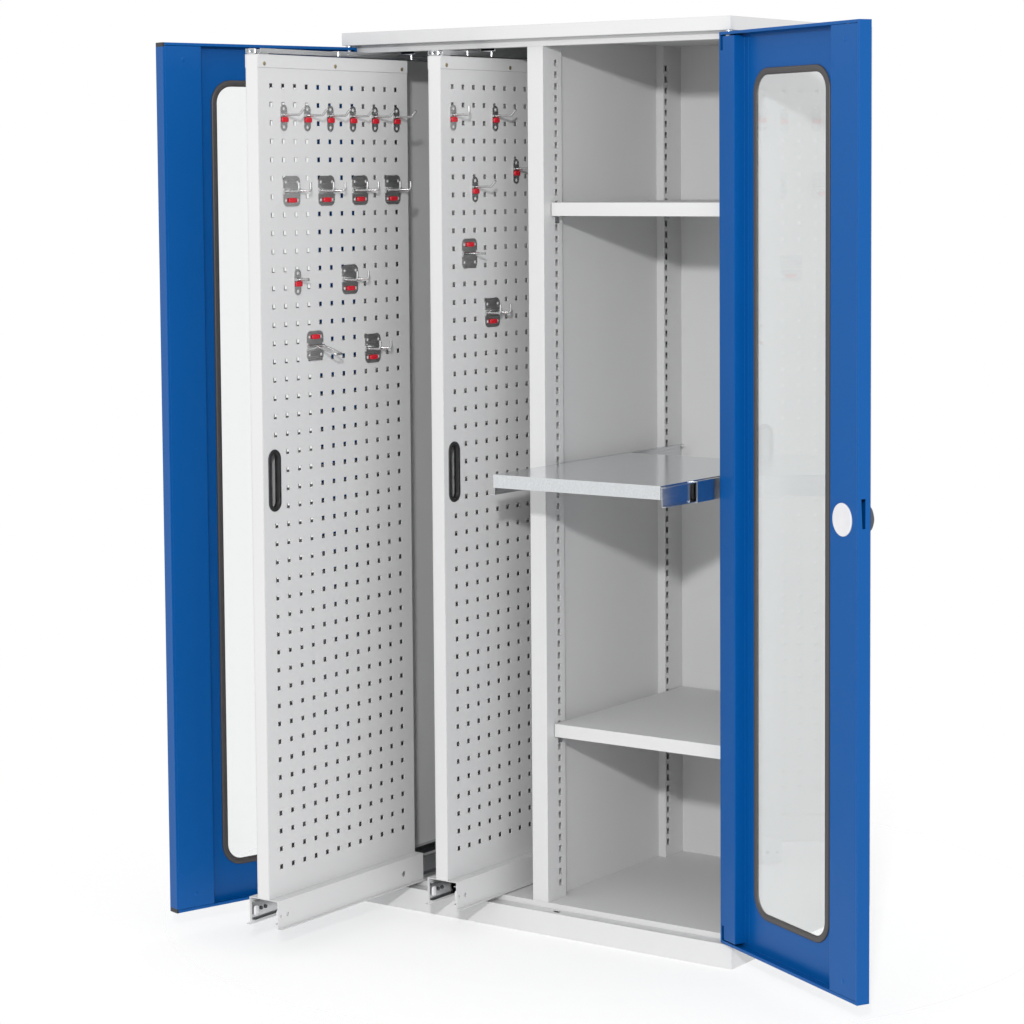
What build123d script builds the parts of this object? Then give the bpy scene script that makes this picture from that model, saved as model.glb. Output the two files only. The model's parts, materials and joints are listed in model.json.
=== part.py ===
from build123d import *

import math
import os

# Steel tool cabinet with two hinged window doors, two pull-out perforated panels on the left,
# and shelves with one sliding shelf on the right.
# Millimetres. The origin is the centre of the base on the floor: X to the right, Y to the back, Z up.
# The doors, the pull-outs and the sliding shelf are drawn at their resting places, opened.

# Body
body_width = 1000.0
body_depth = 600.0
body_height = 1950.0
body_sheet = 1.5
base_height = 50.0
roof_height = 28.0
deck_height = 12.0
rail_height = 16.0
rail_depth = 25.0
wall_front_return = 20.0
wall_rear_return = 18.0
back_inset = 17.0
swing_clearance = 0.4

# Partition and slotted posts
partition_x = 0.0
partition_sheet_thickness = 1.5
post_half_width = 20.0
front_post_depth = 70.0
rear_post_depth = 74.0
post_return = 18.5
slot_pitch = 25.0
slot_width = 10.0
slot_height = 13.5
slot_first = 34.5
slot_end_margin = 30.0
front_slot_setback = 48.0
rear_slot_setback = 63.5

# Fixed shelves
shelf_sheet = 1.2
shelf_edge = 28.5
shelf_lip = 15.0
shelf_side_gap = 2.5
shelf_front_setback = 25.5
shelf_rear_gap = 3.5
lower_shelf_slot = 13
upper_shelf_slot = 58
clip_width = 16.0
clip_sheet = 1.5
clip_ledge = 14.0
clip_drop = 16.0
clip_tab_height = 4.0
clip_tab_reach = 3.0
slot_play = 1.0

# Ball slides
slide_height = 46.0
slide_depth = 12.7
slide_sheet = 1.2
running_gap = 0.3

# Sliding shelf
tray_slot = 36
tray_top_above_slot = 20.5
tray_edge = 27.5
tray_depth = 522.0
tray_lip = 15.0
tray_sheet = 1.2
tray_out = 252.0
tray_slide_length = 500.0
tray_slide_setback = 5.0
tray_bracket_depth = 13.0
tray_bracket_length = 45.0
tray_bracket_height = 38.0

# Pull-out panels
panel_thickness = 32.0
panel_length = 501.0
panel_sheet = 1.5
panel_top_gap = 38.0
panel_front_setback = 4.5
left_panel_x = -359.0
right_panel_x = -142.0
left_panel_out = 505.0
right_panel_out = 171.0
hole_size = 10.0
hole_pitch = 38.0
hole_margin_y = 40.0
hole_margin_z = 60.0
cap_height = 26.0
cap_sheet = 1.2
cap_hole = 5.0
cap_hole_drop = 18.0
cap_hole_margin = 20.0

# Carriage under each panel
carriage_half_width = 39.0
carriage_lip = 8.0
carriage_height = 60.0
carriage_floor_gap = 2.0
carriage_sheet = 1.5
carriage_slide_lift = 29.0
carriage_hole_drop = 2.0
carriage_rivet = 6.0
carriage_rivet_setback = 10.0
carriage_screw = 9.0
carriage_screw_setback = 32.0
carriage_pin = 13.0
carriage_pin_setback = 70.0
pull_slide_length = 490.0
pull_slide_setback = 5.0
slide_foot_width = 15.0
top_slide_drop = 22.0
top_rail_width = 40.0
runner_foot_length = 30.0

# Grip ring in the right sheet of each panel
grip_length = 130.0
grip_width = 40.0
grip_setback = 36.0
grip_flange = 2.5
grip_wall = 3.0
grip_rim = 6.0
grip_depth = 9.0

# Hooks on the panels
hook_plate_thickness = 2.0
hook_plate_width = 21.0
hook_plate_height = 54.5
hook_plate_drop = 8.0
hook_eye = 8.0
hook_eye_spread = 19.0
hook_wide_width = 54.0
hook_wide_height = 63.0
hook_wide_shift = 3.0
hook_wide_corner = 12.0
hook_wide_eye = 7.0
hook_neck_height = 13.0
hook_neck_notch = 4.5
hook_wire = 5.0
hook_peg = 7.0
hook_wire_drop = 2.5
hook_reach = 43.0
hook_peg_reach = 31.0
hook_double_reach = 37.0
hook_tip = 18.0
hook_bend = 6.0
hook_loop_reach = 55.0
hook_loop_width = 22.0
hook_loop_fall = 17.0
hook_tab_width = 8.0
hook_tab_height = 2.2
hook_tab_reach = 3.0
hook_tab_fit = 0.4
hook_weld = 0.4
hook_clip_height = 11.0
hook_clip_thickness = 5.0
hook_clip_gap = 0.3
hook_wide_clip_width = 26.0
hook_wide_clip_height = 10.0

# Doors
door_thickness = 28.0
door_sheet = 1.5
door_bottom_gap = 3.0
door_top_gap = 4.0
door_meeting_gap = 2.0
door_bend = 3.0
door_hinge_return = 58.0
door_hinge_flange = 16.0
door_lip = 6.0
door_rim_gap = 1.0
door_return_gap = 3.0
door_lock_box = 94.0
left_door_angle = 106.5
right_door_angle = 152.5

# Window of each door
window_width = 273.0
window_hinge_offset = 93.0
window_bottom_margin = 75.0
window_top_margin = 76.0
window_corner = 50.0
seal_band = 14.0
seal_outer_groove = 6.0
seal_inner_groove = 5.0
seal_front = 3.0
seal_thickness = 9.0
pane_thickness = 4.0

# Hinges
pivot_inset = 11.0
pin_diameter = 10.0
pin_fit = 0.05
pin_reach = 35.0
collar_diameter = 15.0
bush_length = 40.0
pin_hole = 12.0
hinge_slot_width = 10.0
hinge_slot_length = 31.0
hinge_slot_margin = 11.0

# Lock of the right door
lock_edge_offset = 51.0
lock_height = 979.0
lock_cap_diameter = 64.0
lock_cap_thickness = 3.0
knob_diameter = 58.0
knob_depth = 25.0
knob_gap = 0.3
knob_edge = 2.5
knob_wall = 7.5
knob_face = 4.0
knob_boss = 20.0
spindle_diameter = 10.0
cam_diameter = 26.0
cam_thickness = 7.0
rod_diameter = 8.0
rod_setback = 17.0
rod_guide_fit = 0.05
rod_end_recess = 0.5
rod_cam_gap = 0.5
lock_box_width = 48.0
lock_box_height = 80.0
lock_box_wall = 3.0
keeper_width = 16.0
keeper_depth = 12.0
latch_slot_top = 10.0
latch_slot_bottom = 7.0
latch_slot_height = 57.0
latch_slot_lift = 15.0
latch_slot_setback = 11.0
corner_cap_width = 4.0
corner_cap_height = 9.0

# Levels and planes worked out from the sizes above
half_width = body_width / 2
front_y = -body_depth / 2
rear_y = body_depth / 2
deck_z = base_height + deck_height
ceiling_z = body_height - roof_height
rail_z = ceiling_z - rail_height
inner_x = half_width - body_sheet
back_y = rear_y - back_inset - body_sheet
corner_swing = math.hypot(pivot_inset - door_bend, door_thickness - pivot_inset - door_bend) + door_bend
frame_y = front_y + pivot_inset + corner_swing + swing_clearance
post_inner_y = frame_y + body_sheet
front_slot_y = frame_y + front_slot_setback
rear_slot_y = back_y - rear_slot_setback
bay_left = partition_x + post_half_width
bay_right = half_width - post_half_width
bay_middle = (bay_left + bay_right) / 2
pivot_x = half_width - pivot_inset
pivot_y = front_y + pivot_inset
door_width = half_width - door_meeting_gap / 2
door_bottom = base_height + door_bottom_gap
door_top = ceiling_z - door_top_gap
lock_u = door_width - lock_edge_offset
carriage_bottom = deck_z + carriage_floor_gap
panel_bottom = carriage_bottom + carriage_height
panel_top = ceiling_z - panel_top_gap
panel_closed_y = frame_y + panel_front_setback
slide_z = carriage_bottom + carriage_slide_lift
top_slide_z = ceiling_z - top_slide_drop
columns = int((panel_length - 2 * hole_margin_y) / hole_pitch) + 1
rows = int((panel_top - panel_bottom - 2 * hole_margin_z) / hole_pitch) + 1
first_column = (panel_length - (columns - 1) * hole_pitch) / 2
top_row_z = (panel_top + panel_bottom + (rows - 1) * hole_pitch) / 2
grip_z = (panel_top + panel_bottom) / 2
shelf_front = frame_y + shelf_front_setback
tray_top = deck_z + slot_first + tray_slot * slot_pitch + tray_top_above_slot
tray_left = bay_left + tray_bracket_depth + slide_depth
tray_slide_z = tray_top - slide_height / 2


def box(x0, x1, y0, y1, z0, z1):
    """Block between two corners."""
    return Pos((x0 + x1) / 2, (y0 + y1) / 2, (z0 + z1) / 2) * Box(x1 - x0, y1 - y0, z1 - z0)


def rod(x, y, z0, z1, diameter):
    """Upright round bar."""
    return Pos(x, y, (z0 + z1) / 2) * Cylinder(diameter / 2, z1 - z0)


def cross_rod(x, z, y0, y1, diameter):
    """Round bar lying along Y."""
    return Pos(x, (y0 + y1) / 2, z) * Rot(90, 0, 0) * Cylinder(diameter / 2, y1 - y0)


def side_rod(y, z, x0, x1, diameter):
    """Round bar lying along X."""
    return Pos((x0 + x1) / 2, y, z) * Rot(0, 90, 0) * Cylinder(diameter / 2, x1 - x0)


def facing_plate(sketch, x, z, y0, y1):
    """Sketch in the X-Z plane, centred on x and z, made solid from y0 to y1."""
    return extrude(Plane(origin=(x, y1, z), x_dir=(1, 0, 0), z_dir=(0, -1, 0)) * sketch, y1 - y0)


def side_plate(sketch, y, z, x0, x1):
    """Sketch in the Y-Z plane, centred on y and z, made solid from x0 to x1."""
    return extrude(Plane(origin=(x0, y, z), x_dir=(0, 1, 0), z_dir=(1, 0, 0)) * sketch, x1 - x0)


def folded_tray(x0, x1, y0, y1, z0, z1, sheet, lip):
    """Tray of folded sheet, open below, with a lip turned in all round its lower edge."""
    tray = box(x0, x1, y0, y1, z0, z1)
    tray -= box(x0 + sheet, x1 - sheet, y0 + sheet, y1 - sheet, z0 + sheet, z1 - sheet)
    tray -= box(x0 + lip, x1 - lip, y0 + lip, y1 - lip, z0 - sheet, z0 + 2 * sheet)
    return tray


def channel(web_x, lip_x, y0, y1, z0, z1, sheet):
    """Sheet channel along Y: its web stands at web_x and it opens towards lip_x."""
    side = math.copysign(1, lip_x - web_x)
    outer = box(min(web_x, lip_x), max(web_x, lip_x), y0, y1, z0, z1)
    inner_web = web_x + side * sheet
    past_lip = lip_x + side * sheet
    return outer - box(min(inner_web, past_lip), max(inner_web, past_lip), y0, y1, z0 + sheet, z1 - sheet)


def pierced_sheet(length, height, holes, sheet):
    """Upright sheet with its lower front corner at the origin; holes are (y, z, width, height)."""
    outline = Wire.make_polygon([(0, 0, 0), (length, 0, 0), (length, height, 0), (0, height, 0)], close=True)
    windows = []
    for y, z, wide, high in holes:
        left, right = y - wide / 2, y + wide / 2
        low, high_edge = z - high / 2, z + high / 2
        corners = [(left, low, 0), (right, low, 0), (right, high_edge, 0), (left, high_edge, 0)]
        windows.append(Wire.make_polygon(corners, close=True))
    upright = Plane(origin=(0, 0, 0), x_dir=(0, 1, 0), z_dir=(1, 0, 0))
    return extrude(upright * Face(outline, windows), sheet)


def mirrored(shape, x=0.0):
    """Mirror image of a shape across the upright plane at x."""
    return shape.mirror(Plane(origin=(x, 0, 0), z_dir=(1, 0, 0)))


def group(shapes):
    """Several separate solids kept as one piece of the parts list."""
    return Compound([solid for shape in shapes for solid in shape.solids()])


# Body

def keeper_slot(z0, z1):
    """Slot in a front ledge that takes the end of a locking rod."""
    x = half_width - lock_u
    y = front_y + rod_setback
    half_x = keeper_width / 2
    half_y = keeper_depth / 2
    return box(x - half_x, x + half_x, y - half_y, y + half_y, z0, z1)


def base_plinth():
    """Closed folded base; its top is the ledge under the doors."""
    plinth = box(-half_width, half_width, front_y, rear_y, 0, base_height)
    plinth -= box(
        -inner_x, inner_x, front_y + body_sheet, rear_y - body_sheet, body_sheet, base_height - body_sheet
    )
    return plinth - keeper_slot(base_height - 2 * body_sheet, base_height + body_sheet)


def floor_deck():
    """Raised floor whose front edge is the lower strip of the frame."""
    return folded_tray(-inner_x, inner_x, frame_y, back_y, base_height, deck_z, body_sheet, body_sheet)


def left_wall():
    """Side wall with a strip welded behind its front edge and one behind its rear edge."""
    wall = box(-half_width, -inner_x, frame_y, rear_y, base_height, ceiling_z)
    front = box(-inner_x, wall_front_return - half_width, frame_y, post_inner_y, deck_z, rail_z)
    rear = box(-inner_x, wall_rear_return - half_width, rear_y - body_sheet, rear_y, base_height, ceiling_z)
    return group([wall, front, rear])


def right_wall():
    """Side wall with a strip behind its rear edge; the slotted front post closes its front edge."""
    wall = box(inner_x, half_width, frame_y, rear_y, base_height, ceiling_z)
    rear = box(half_width - wall_rear_return, inner_x, rear_y - body_sheet, rear_y, base_height, ceiling_z)
    return group([wall, rear])


def back_panel():
    """Flat back sheet set in from the rear edges of the walls."""
    return box(-inner_x, inner_x, back_y, back_y + body_sheet, base_height, ceiling_z)


def roof_cap():
    """Folded roof, open below."""
    cap = box(-half_width, half_width, front_y, rear_y, ceiling_z, body_height)
    return cap - box(
        -inner_x, inner_x, front_y + body_sheet, rear_y - body_sheet, ceiling_z, body_height - body_sheet
    )


def ceiling_panel():
    """Flat sheet that closes the roof from below and carries the upper hinge pins."""
    sheet = box(
        -inner_x, inner_x, front_y + body_sheet, rear_y - body_sheet, ceiling_z, ceiling_z + body_sheet
    )
    return sheet - keeper_slot(ceiling_z - body_sheet, ceiling_z + 2 * body_sheet)


def top_rail():
    """Angle across the front under the ceiling."""
    web = box(-inner_x, inner_x, frame_y, post_inner_y, rail_z, ceiling_z)
    return web + box(-inner_x, inner_x, frame_y, frame_y + rail_depth, rail_z, rail_z + body_sheet)


def partition_sheet():
    """Upright sheet between the panel bay and the shelf bay."""
    half = partition_sheet_thickness / 2
    x0 = partition_x - half
    x1 = partition_x + half
    sheet = box(x0, x1, post_inner_y, back_y, deck_z, ceiling_z)
    return sheet - box(x0, x1, frame_y, frame_y + rail_depth, rail_z, ceiling_z)


def slotted_web(x, y0, y1, z1, slot_y):
    """Upright strip from the deck to z1 with a column of shelf slots; it faces +X at x."""
    height = z1 - deck_z
    count = int((height - slot_first - slot_end_margin) / slot_pitch) + 1
    slots = [(slot_y - y0, slot_first + i * slot_pitch, slot_width, slot_height) for i in range(count)]
    return Pos(x - body_sheet, y0, deck_z) * pierced_sheet(y1 - y0, height, slots, body_sheet)


def partition_front_post():
    """Channel on the front edge of the partition, slotted towards the shelf bay."""
    rear = frame_y + front_post_depth
    post = box(partition_x - post_half_width, bay_left, frame_y, post_inner_y, deck_z, rail_z)
    post += box(
        partition_x - post_half_width,
        partition_x - post_half_width + body_sheet,
        post_inner_y,
        rear,
        deck_z,
        rail_z,
    )
    return post + slotted_web(bay_left, post_inner_y, rear, rail_z, front_slot_y)


def partition_rear_post():
    """Channel on the shelf side of the partition, against the back panel."""
    front = back_y - rear_post_depth
    half = partition_sheet_thickness / 2
    post = box(partition_x + half, bay_left, front, front + body_sheet, deck_z, ceiling_z)
    return post + slotted_web(bay_left, front + body_sheet, back_y, ceiling_z, rear_slot_y)


def right_front_post():
    """Channel inside the front edge of the right wall."""
    rear = frame_y + front_post_depth
    post = box(bay_right, inner_x, frame_y, post_inner_y, deck_z, rail_z)
    post += slotted_web(bay_right + body_sheet, post_inner_y, rear, rail_z, front_slot_y)
    return post + box(bay_right, inner_x, rear, rear + body_sheet, deck_z, rail_z)


def right_rear_post():
    """Channel inside the rear of the right wall, against the back panel."""
    front = back_y - rear_post_depth
    post = box(bay_right, inner_x, front, front + body_sheet, deck_z, ceiling_z)
    return post + slotted_web(bay_right + body_sheet, front + body_sheet, back_y, ceiling_z, rear_slot_y)


# Shelves

def slot_z(index):
    """Height of the middle of a shelf slot."""
    return deck_z + slot_first + index * slot_pitch


def fixed_shelf(index):
    """Folded shelf that rests on four clips hung in the slots of one level."""
    x0 = bay_left + shelf_side_gap
    x1 = bay_right - shelf_side_gap
    z0 = slot_z(index)
    y1 = back_y - shelf_rear_gap
    return folded_tray(x0, x1, shelf_front, y1, z0, z0 + shelf_edge, shelf_sheet, shelf_lip)


def shelf_clip(y, index):
    """Clip hung in one slot of the left posts; its ledge carries the shelf."""
    z = slot_z(index)
    half = clip_width / 2
    half_tab = (slot_width - slot_play) / 2
    clip = box(bay_left, bay_left + clip_sheet, y - half, y + half, z - clip_drop, z)
    clip += box(bay_left, bay_left + clip_ledge, y - half, y + half, z - clip_sheet, z)
    clip += box(bay_left - clip_tab_reach, bay_left, y - half_tab, y + half_tab, z - clip_tab_height, z)
    return clip


def shelf_clips():
    """Eight clips, four under each fixed shelf."""
    levels = (lower_shelf_slot, upper_shelf_slot)
    left = [shelf_clip(y, index) for index in levels for y in (front_slot_y, rear_slot_y)]
    right = [mirrored(clip, bay_middle) for clip in left]
    return group(left + right)


# Ball slides: three nested channels. Their depth runs from the fixed face to the moving face.

def slide_fixed(face, side, y0, length, z):
    """Outer channel; its web stands on the fixed face and side points to the moving face."""
    half = slide_height / 2
    lip = face + side * (slide_depth - 2 * running_gap)
    return channel(face, lip, y0, y0 + length, z - half, z + half, slide_sheet)


def slide_middle(face, side, y0, length, z):
    """Middle channel, nested in the outer one."""
    half = slide_height / 2 - slide_sheet - running_gap
    web = face + side * (slide_sheet + running_gap)
    lip = face + side * (slide_depth - 2 * running_gap)
    return channel(web, lip, y0, y0 + length, z - half, z + half, slide_sheet)


def slide_moving(face, side, y0, length, z):
    """Inner channel, nested in the middle one and opening against it."""
    half = slide_height / 2 - 2 * (slide_sheet + running_gap)
    web = face + side * slide_depth
    lip = face + side * (2 * (slide_sheet + running_gap))
    return channel(web, lip, y0, y0 + length, z - half, z + half, slide_sheet)


def laid_flat(member, x, z):
    """Turn a slide member drawn about the origin so that its fixed face is up, at x and z."""
    return Pos(x, 0, z) * Rot(0, 90, 0) * member


# Sliding shelf

def tray_bracket(y_slot):
    """Inverted channel that holds the slide off one post and hooks into its slot."""
    half = tray_bracket_length / 2
    z1 = tray_slide_z + tray_bracket_height / 2
    z0 = tray_slide_z - tray_bracket_height / 2
    x1 = bay_left + tray_bracket_depth
    bracket = box(bay_left, x1, y_slot - half, y_slot + half, z0, z1)
    bracket -= box(bay_left + clip_sheet, x1 - clip_sheet, y_slot - half, y_slot + half, z0, z1 - clip_sheet)
    z = slot_z(tray_slot)
    half_tab = (slot_width - slot_play) / 2
    half_high = clip_tab_height / 2
    y0 = y_slot - half_tab
    y1 = y_slot + half_tab
    tab = box(bay_left - clip_tab_reach, bay_left, y0, y1, z - half_high, z + half_high)
    return bracket + tab


def shelf_slides_fixed():
    """Brackets on the posts and the outer slide members that they carry."""
    y0 = shelf_front - tray_slide_setback
    face = bay_left + tray_bracket_depth
    left = [
        tray_bracket(front_slot_y),
        tray_bracket(rear_slot_y),
        slide_fixed(face, 1, y0, tray_slide_length, tray_slide_z),
    ]
    return group(left + [mirrored(piece, bay_middle) for piece in left])


def shelf_slides_middle():
    """Middle members, half way out."""
    y0 = shelf_front - tray_slide_setback - tray_out / 2
    left = slide_middle(bay_left + tray_bracket_depth, 1, y0, tray_slide_length, tray_slide_z)
    return group([left, mirrored(left, bay_middle)])


def shelf_slides_moving():
    """Inner members on the sides of the sliding shelf."""
    y0 = shelf_front + tray_slide_setback - tray_out
    left = slide_moving(bay_left + tray_bracket_depth, 1, y0, tray_slide_length, tray_slide_z)
    return group([left, mirrored(left, bay_middle)])


def sliding_shelf():
    """Galvanised folded shelf between the two slides."""
    x1 = 2 * bay_middle - tray_left
    y0 = shelf_front - tray_out
    y1 = y0 + tray_depth
    return folded_tray(tray_left, x1, y0, y1, tray_top - tray_edge, tray_top, tray_sheet, tray_lip)


# Pull-out panels, drawn pushed in and centred on X = 0; placed() moves them to their bay and pulls them out

def placed(shape, x, out):
    """Move a piece of a pull-out to its bay and pull it out."""
    return Pos(x, -out, 0) * shape


def column_y(column):
    """Distance of a column of holes from the front edge of the panel, as a place along Y."""
    return panel_closed_y + first_column + column * hole_pitch


def row_z(row):
    """Height of a row of holes counted from the top."""
    return top_row_z - row * hole_pitch


def panel_holes(with_grip):
    """Centres of the square holes, leaving out those that the grip covers."""
    grip_y = panel_closed_y + grip_setback
    reach_y = (grip_width + hole_size) / 2
    reach_z = (grip_length + hole_size) / 2
    holes = []
    for column in range(columns):
        for row in range(rows):
            y = column_y(column)
            z = row_z(row)
            covered = abs(y - grip_y) < reach_y and abs(z - grip_z) < reach_z
            if not (with_grip and covered):
                holes.append((y - panel_closed_y, z - panel_bottom, hole_size, hole_size))
    return holes


def perforated_sheet(with_grip):
    """Right-hand sheet of a panel; the left-hand one is the plain one mirrored."""
    x = panel_thickness / 2 - panel_sheet
    height = panel_top - panel_bottom
    sheet = pierced_sheet(panel_length, height, panel_holes(with_grip), panel_sheet)
    sheet = Pos(x, panel_closed_y, panel_bottom) * sheet
    if with_grip:
        opening = SlotOverall(grip_length - 2 * grip_rim, grip_width - 2 * grip_rim, rotation=90)
        cut = side_plate(opening, panel_closed_y + grip_setback, grip_z, x - panel_sheet, x + 2 * panel_sheet)
        sheet -= cut
    return sheet


def panel_frame():
    """Strip folded into a rectangle that holds the two sheets apart."""
    half = panel_thickness / 2 - panel_sheet
    y1 = panel_closed_y + panel_length
    frame = box(-half, half, panel_closed_y, y1, panel_bottom, panel_top)
    return frame - box(
        -half,
        half,
        panel_closed_y + panel_sheet,
        y1 - panel_sheet,
        panel_bottom + panel_sheet,
        panel_top - panel_sheet,
    )


def panel_cap():
    """Channel over the top edge of the panel with screw holes along both flanks."""
    half = panel_thickness / 2
    y1 = panel_closed_y + panel_length
    outer = half + cap_sheet
    cap = box(-outer, outer, panel_closed_y, y1, panel_top - cap_height, panel_top + cap_sheet)
    cap -= box(-half, half, panel_closed_y, y1, panel_top - cap_height, panel_top)
    for y in (panel_closed_y + cap_hole_margin, panel_closed_y + panel_length / 2, y1 - cap_hole_margin):
        cap -= side_rod(y, panel_top - cap_hole_drop, -outer, outer, cap_hole)
    return cap


def carriage():
    """Inverted channel with lips turned out along its lower edges, holed for fitting."""
    half = carriage_half_width
    inner = half - carriage_sheet
    outer = half + carriage_lip
    y0 = panel_closed_y
    y1 = y0 + panel_length
    z0 = carriage_bottom
    body = box(-half, half, y0, y1, z0, panel_bottom)
    body += box(-outer, outer, y0, y1, z0, z0 + carriage_sheet)
    body -= box(-inner, inner, y0, y1, z0, panel_bottom - carriage_sheet)
    z = slide_z - carriage_hole_drop
    holes = (
        (y0 + carriage_rivet_setback, carriage_rivet),
        (y0 + carriage_screw_setback, carriage_screw),
        (y1 - carriage_pin_setback, carriage_pin),
    )
    for y, size in holes:
        body -= side_rod(y, z, -half, half, size)
    return body


def carriage_runners():
    """Moving slide members inside the walls of the carriage and on top of the panel."""
    y0 = panel_closed_y + pull_slide_setback
    face = carriage_half_width - carriage_sheet - slide_depth
    right = slide_moving(face, 1, y0, pull_slide_length, slide_z)
    top = laid_flat(slide_moving(0, 1, y0, pull_slide_length, 0), 0, top_slide_z)
    half = panel_thickness / 2
    z0 = panel_top + cap_sheet
    z1 = top_slide_z - slide_depth
    rear = y0 + pull_slide_length - runner_foot_length
    for y in (y0, rear):
        top += box(-half, half, y, y + runner_foot_length, z0, z1)
    return group([right, mirrored(right), top])


def middle_runners():
    """Middle slide members of one pull-out."""
    y0 = panel_closed_y + pull_slide_setback
    face = carriage_half_width - carriage_sheet - slide_depth
    right = slide_middle(face, 1, y0, pull_slide_length, slide_z)
    top = laid_flat(slide_middle(0, 1, y0, pull_slide_length, 0), 0, top_slide_z)
    return group([right, mirrored(right), top])


def fixed_floor_slides():
    """Angles on the deck with the outer slide members of one pull-out."""
    y0 = panel_closed_y + pull_slide_setback
    y1 = y0 + pull_slide_length
    face = carriage_half_width - carriage_sheet - slide_depth
    right = slide_fixed(face, 1, y0, pull_slide_length, slide_z)
    right += box(face - body_sheet, face, y0, y1, deck_z, slide_z + slide_height / 2)
    right += box(face - slide_foot_width, face, y0, y1, deck_z, deck_z + body_sheet)
    return [right, mirrored(right)]


def fixed_top_track():
    """Channel under the ceiling with the outer member of the top slide of one pull-out."""
    y0 = panel_closed_y + pull_slide_setback
    y1 = y0 + pull_slide_length
    half = top_rail_width / 2
    track = laid_flat(slide_fixed(0, 1, y0, pull_slide_length, 0), 0, top_slide_z)
    rail_end = frame_y + rail_depth
    hanger = box(-half, half, rail_end, y1, top_slide_z, ceiling_z)
    hanger -= box(-half + body_sheet, half - body_sheet, rail_end, y1, top_slide_z + body_sheet, ceiling_z)
    return track + hanger


def grip_ring():
    """Oval plastic ring that lines the hand opening."""
    face = panel_thickness / 2
    y = panel_closed_y + grip_setback
    outline = SlotOverall(grip_length, grip_width, rotation=90)
    flange = side_plate(outline, y, grip_z, face, face + grip_flange)
    sleeve = SlotOverall(grip_length - 2 * grip_rim, grip_width - 2 * grip_rim, rotation=90)
    ring = flange + side_plate(sleeve, y, grip_z, face - grip_depth, face)
    trim = 2 * (grip_rim + grip_wall)
    opening = SlotOverall(grip_length - trim, grip_width - trim, rotation=90)
    return ring - side_plate(opening, y, grip_z, face - grip_depth, face + grip_flange)


# Hooks, drawn with the panel face at X = 0 and their middle at the origin

def wire(points, diameter):
    """Round wire along straight runs joined by bends."""
    path = FilletPolyline(points, radius=hook_bend)
    section = Plane(origin=path @ 0, z_dir=path % 0) * Circle(diameter / 2)
    return sweep(section, path=path)


def hook_tabs(offsets):
    """Tongues that reach into the holes next to the plate's middle."""
    half = hook_tab_width / 2
    low = (hole_pitch - hole_size) / 2 + hook_tab_fit
    tabs = []
    for y in offsets:
        tabs.append(box(-hook_tab_reach, 0, y - half, y + half, low, low + hook_tab_height))
        tabs.append(box(-hook_tab_reach, 0, y - half, y + half, -low - hook_tab_height, -low))
    return tabs


def narrow_plate():
    """Plate over two holes of one column, with an eye at each end."""
    shape = SlotOverall(hook_plate_height, hook_plate_width, rotation=90)
    plate = side_plate(shape, 0, -hook_plate_drop, 0, hook_plate_thickness)
    for z in (hook_eye_spread, -hook_eye_spread):
        plate -= side_rod(0, z - hook_plate_drop, 0, hook_plate_thickness, hook_eye)
    for tab in hook_tabs([0]):
        plate += tab
    return plate


def wide_plate():
    """Plate over two columns of holes with an eye at each corner and a neck for the wire."""
    shape = RectangleRounded(hook_wide_width, hook_wide_height, hook_wide_corner)
    notch = Rectangle(hook_neck_notch, hook_neck_height)
    for side in (-1, 1):
        shape -= Pos(side * (hook_wide_width - hook_neck_notch) / 2, 0) * notch
    plate = side_plate(shape, hook_wide_shift, -hook_plate_drop, 0, hook_plate_thickness)
    half = hole_pitch / 2
    for y in (hook_wide_shift - half, hook_wide_shift + half):
        for z in (hook_eye_spread - hook_plate_drop, -hook_eye_spread - hook_plate_drop):
            plate -= side_rod(y, z, 0, hook_plate_thickness, hook_wide_eye)
    for tab in hook_tabs([-half, half]):
        plate += tab
    return plate


def cross_bar(y, width, z, diameter):
    """Stretch of the wire that lies across the plate, sunk into it by a little for its weld."""
    x = hook_plate_thickness + diameter / 2 - hook_weld
    return Pos(x, y, z) * Rot(90, 0, 0) * Cylinder(diameter / 2, width)


def tipped_wire(reach, angle, y, z):
    """Wire straight out from the plate with its end turned up by an angle."""
    turn = math.radians(angle)
    end = (reach + hook_tip * math.cos(turn), y, z + hook_tip * math.sin(turn))
    return wire([(hook_plate_thickness / 2, y, z), (reach, y, z), end], hook_wire)


def single_hook(angle):
    """Hook with one upturned wire."""
    z = -hook_wire_drop
    plate = narrow_plate() + cross_bar(0, hook_plate_width, z, hook_wire)
    return plate + tipped_wire(hook_reach, angle, 0, z)


def peg_hook():
    """Hook with one straight thick peg."""
    z = -hook_wire_drop
    peg = side_rod(0, z, hook_plate_thickness / 2, hook_peg_reach, hook_peg)
    return narrow_plate() + cross_bar(0, hook_plate_width, z, hook_peg) + peg


def wide_bar():
    """Wire across the neck of a wide plate."""
    return cross_bar(hook_wide_shift, hook_wide_width, -hook_plate_drop, hook_wire)


def double_hook():
    """Hook with two upturned wires."""
    half = hole_pitch / 2
    hook = wide_plate() + wide_bar()
    for y in (-half, half):
        hook += tipped_wire(hook_double_reach, 90, y + hook_wide_shift, -hook_plate_drop)
    return hook


def wide_peg_hook():
    """Wide plate with one straight peg."""
    peg = side_rod(hook_wide_shift, -hook_plate_drop, hook_plate_thickness / 2, hook_reach, hook_wire)
    return wide_plate() + wide_bar() + peg


def loop_hook():
    """Wide plate turned over, with a wire bent into a loop that slopes down."""
    z = hook_plate_drop
    start = hook_plate_thickness / 2
    outer = hook_wide_shift + hole_pitch / 2
    inner = outer - hook_loop_width
    low = z - hook_loop_fall
    far = hook_loop_reach
    loop = wire([(start, inner, z), (far, inner, low), (far, outer, low), (start, outer, z)], hook_wire)
    return Rot(180, 0, 0) * (wide_plate() + wide_bar()) + loop


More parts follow.
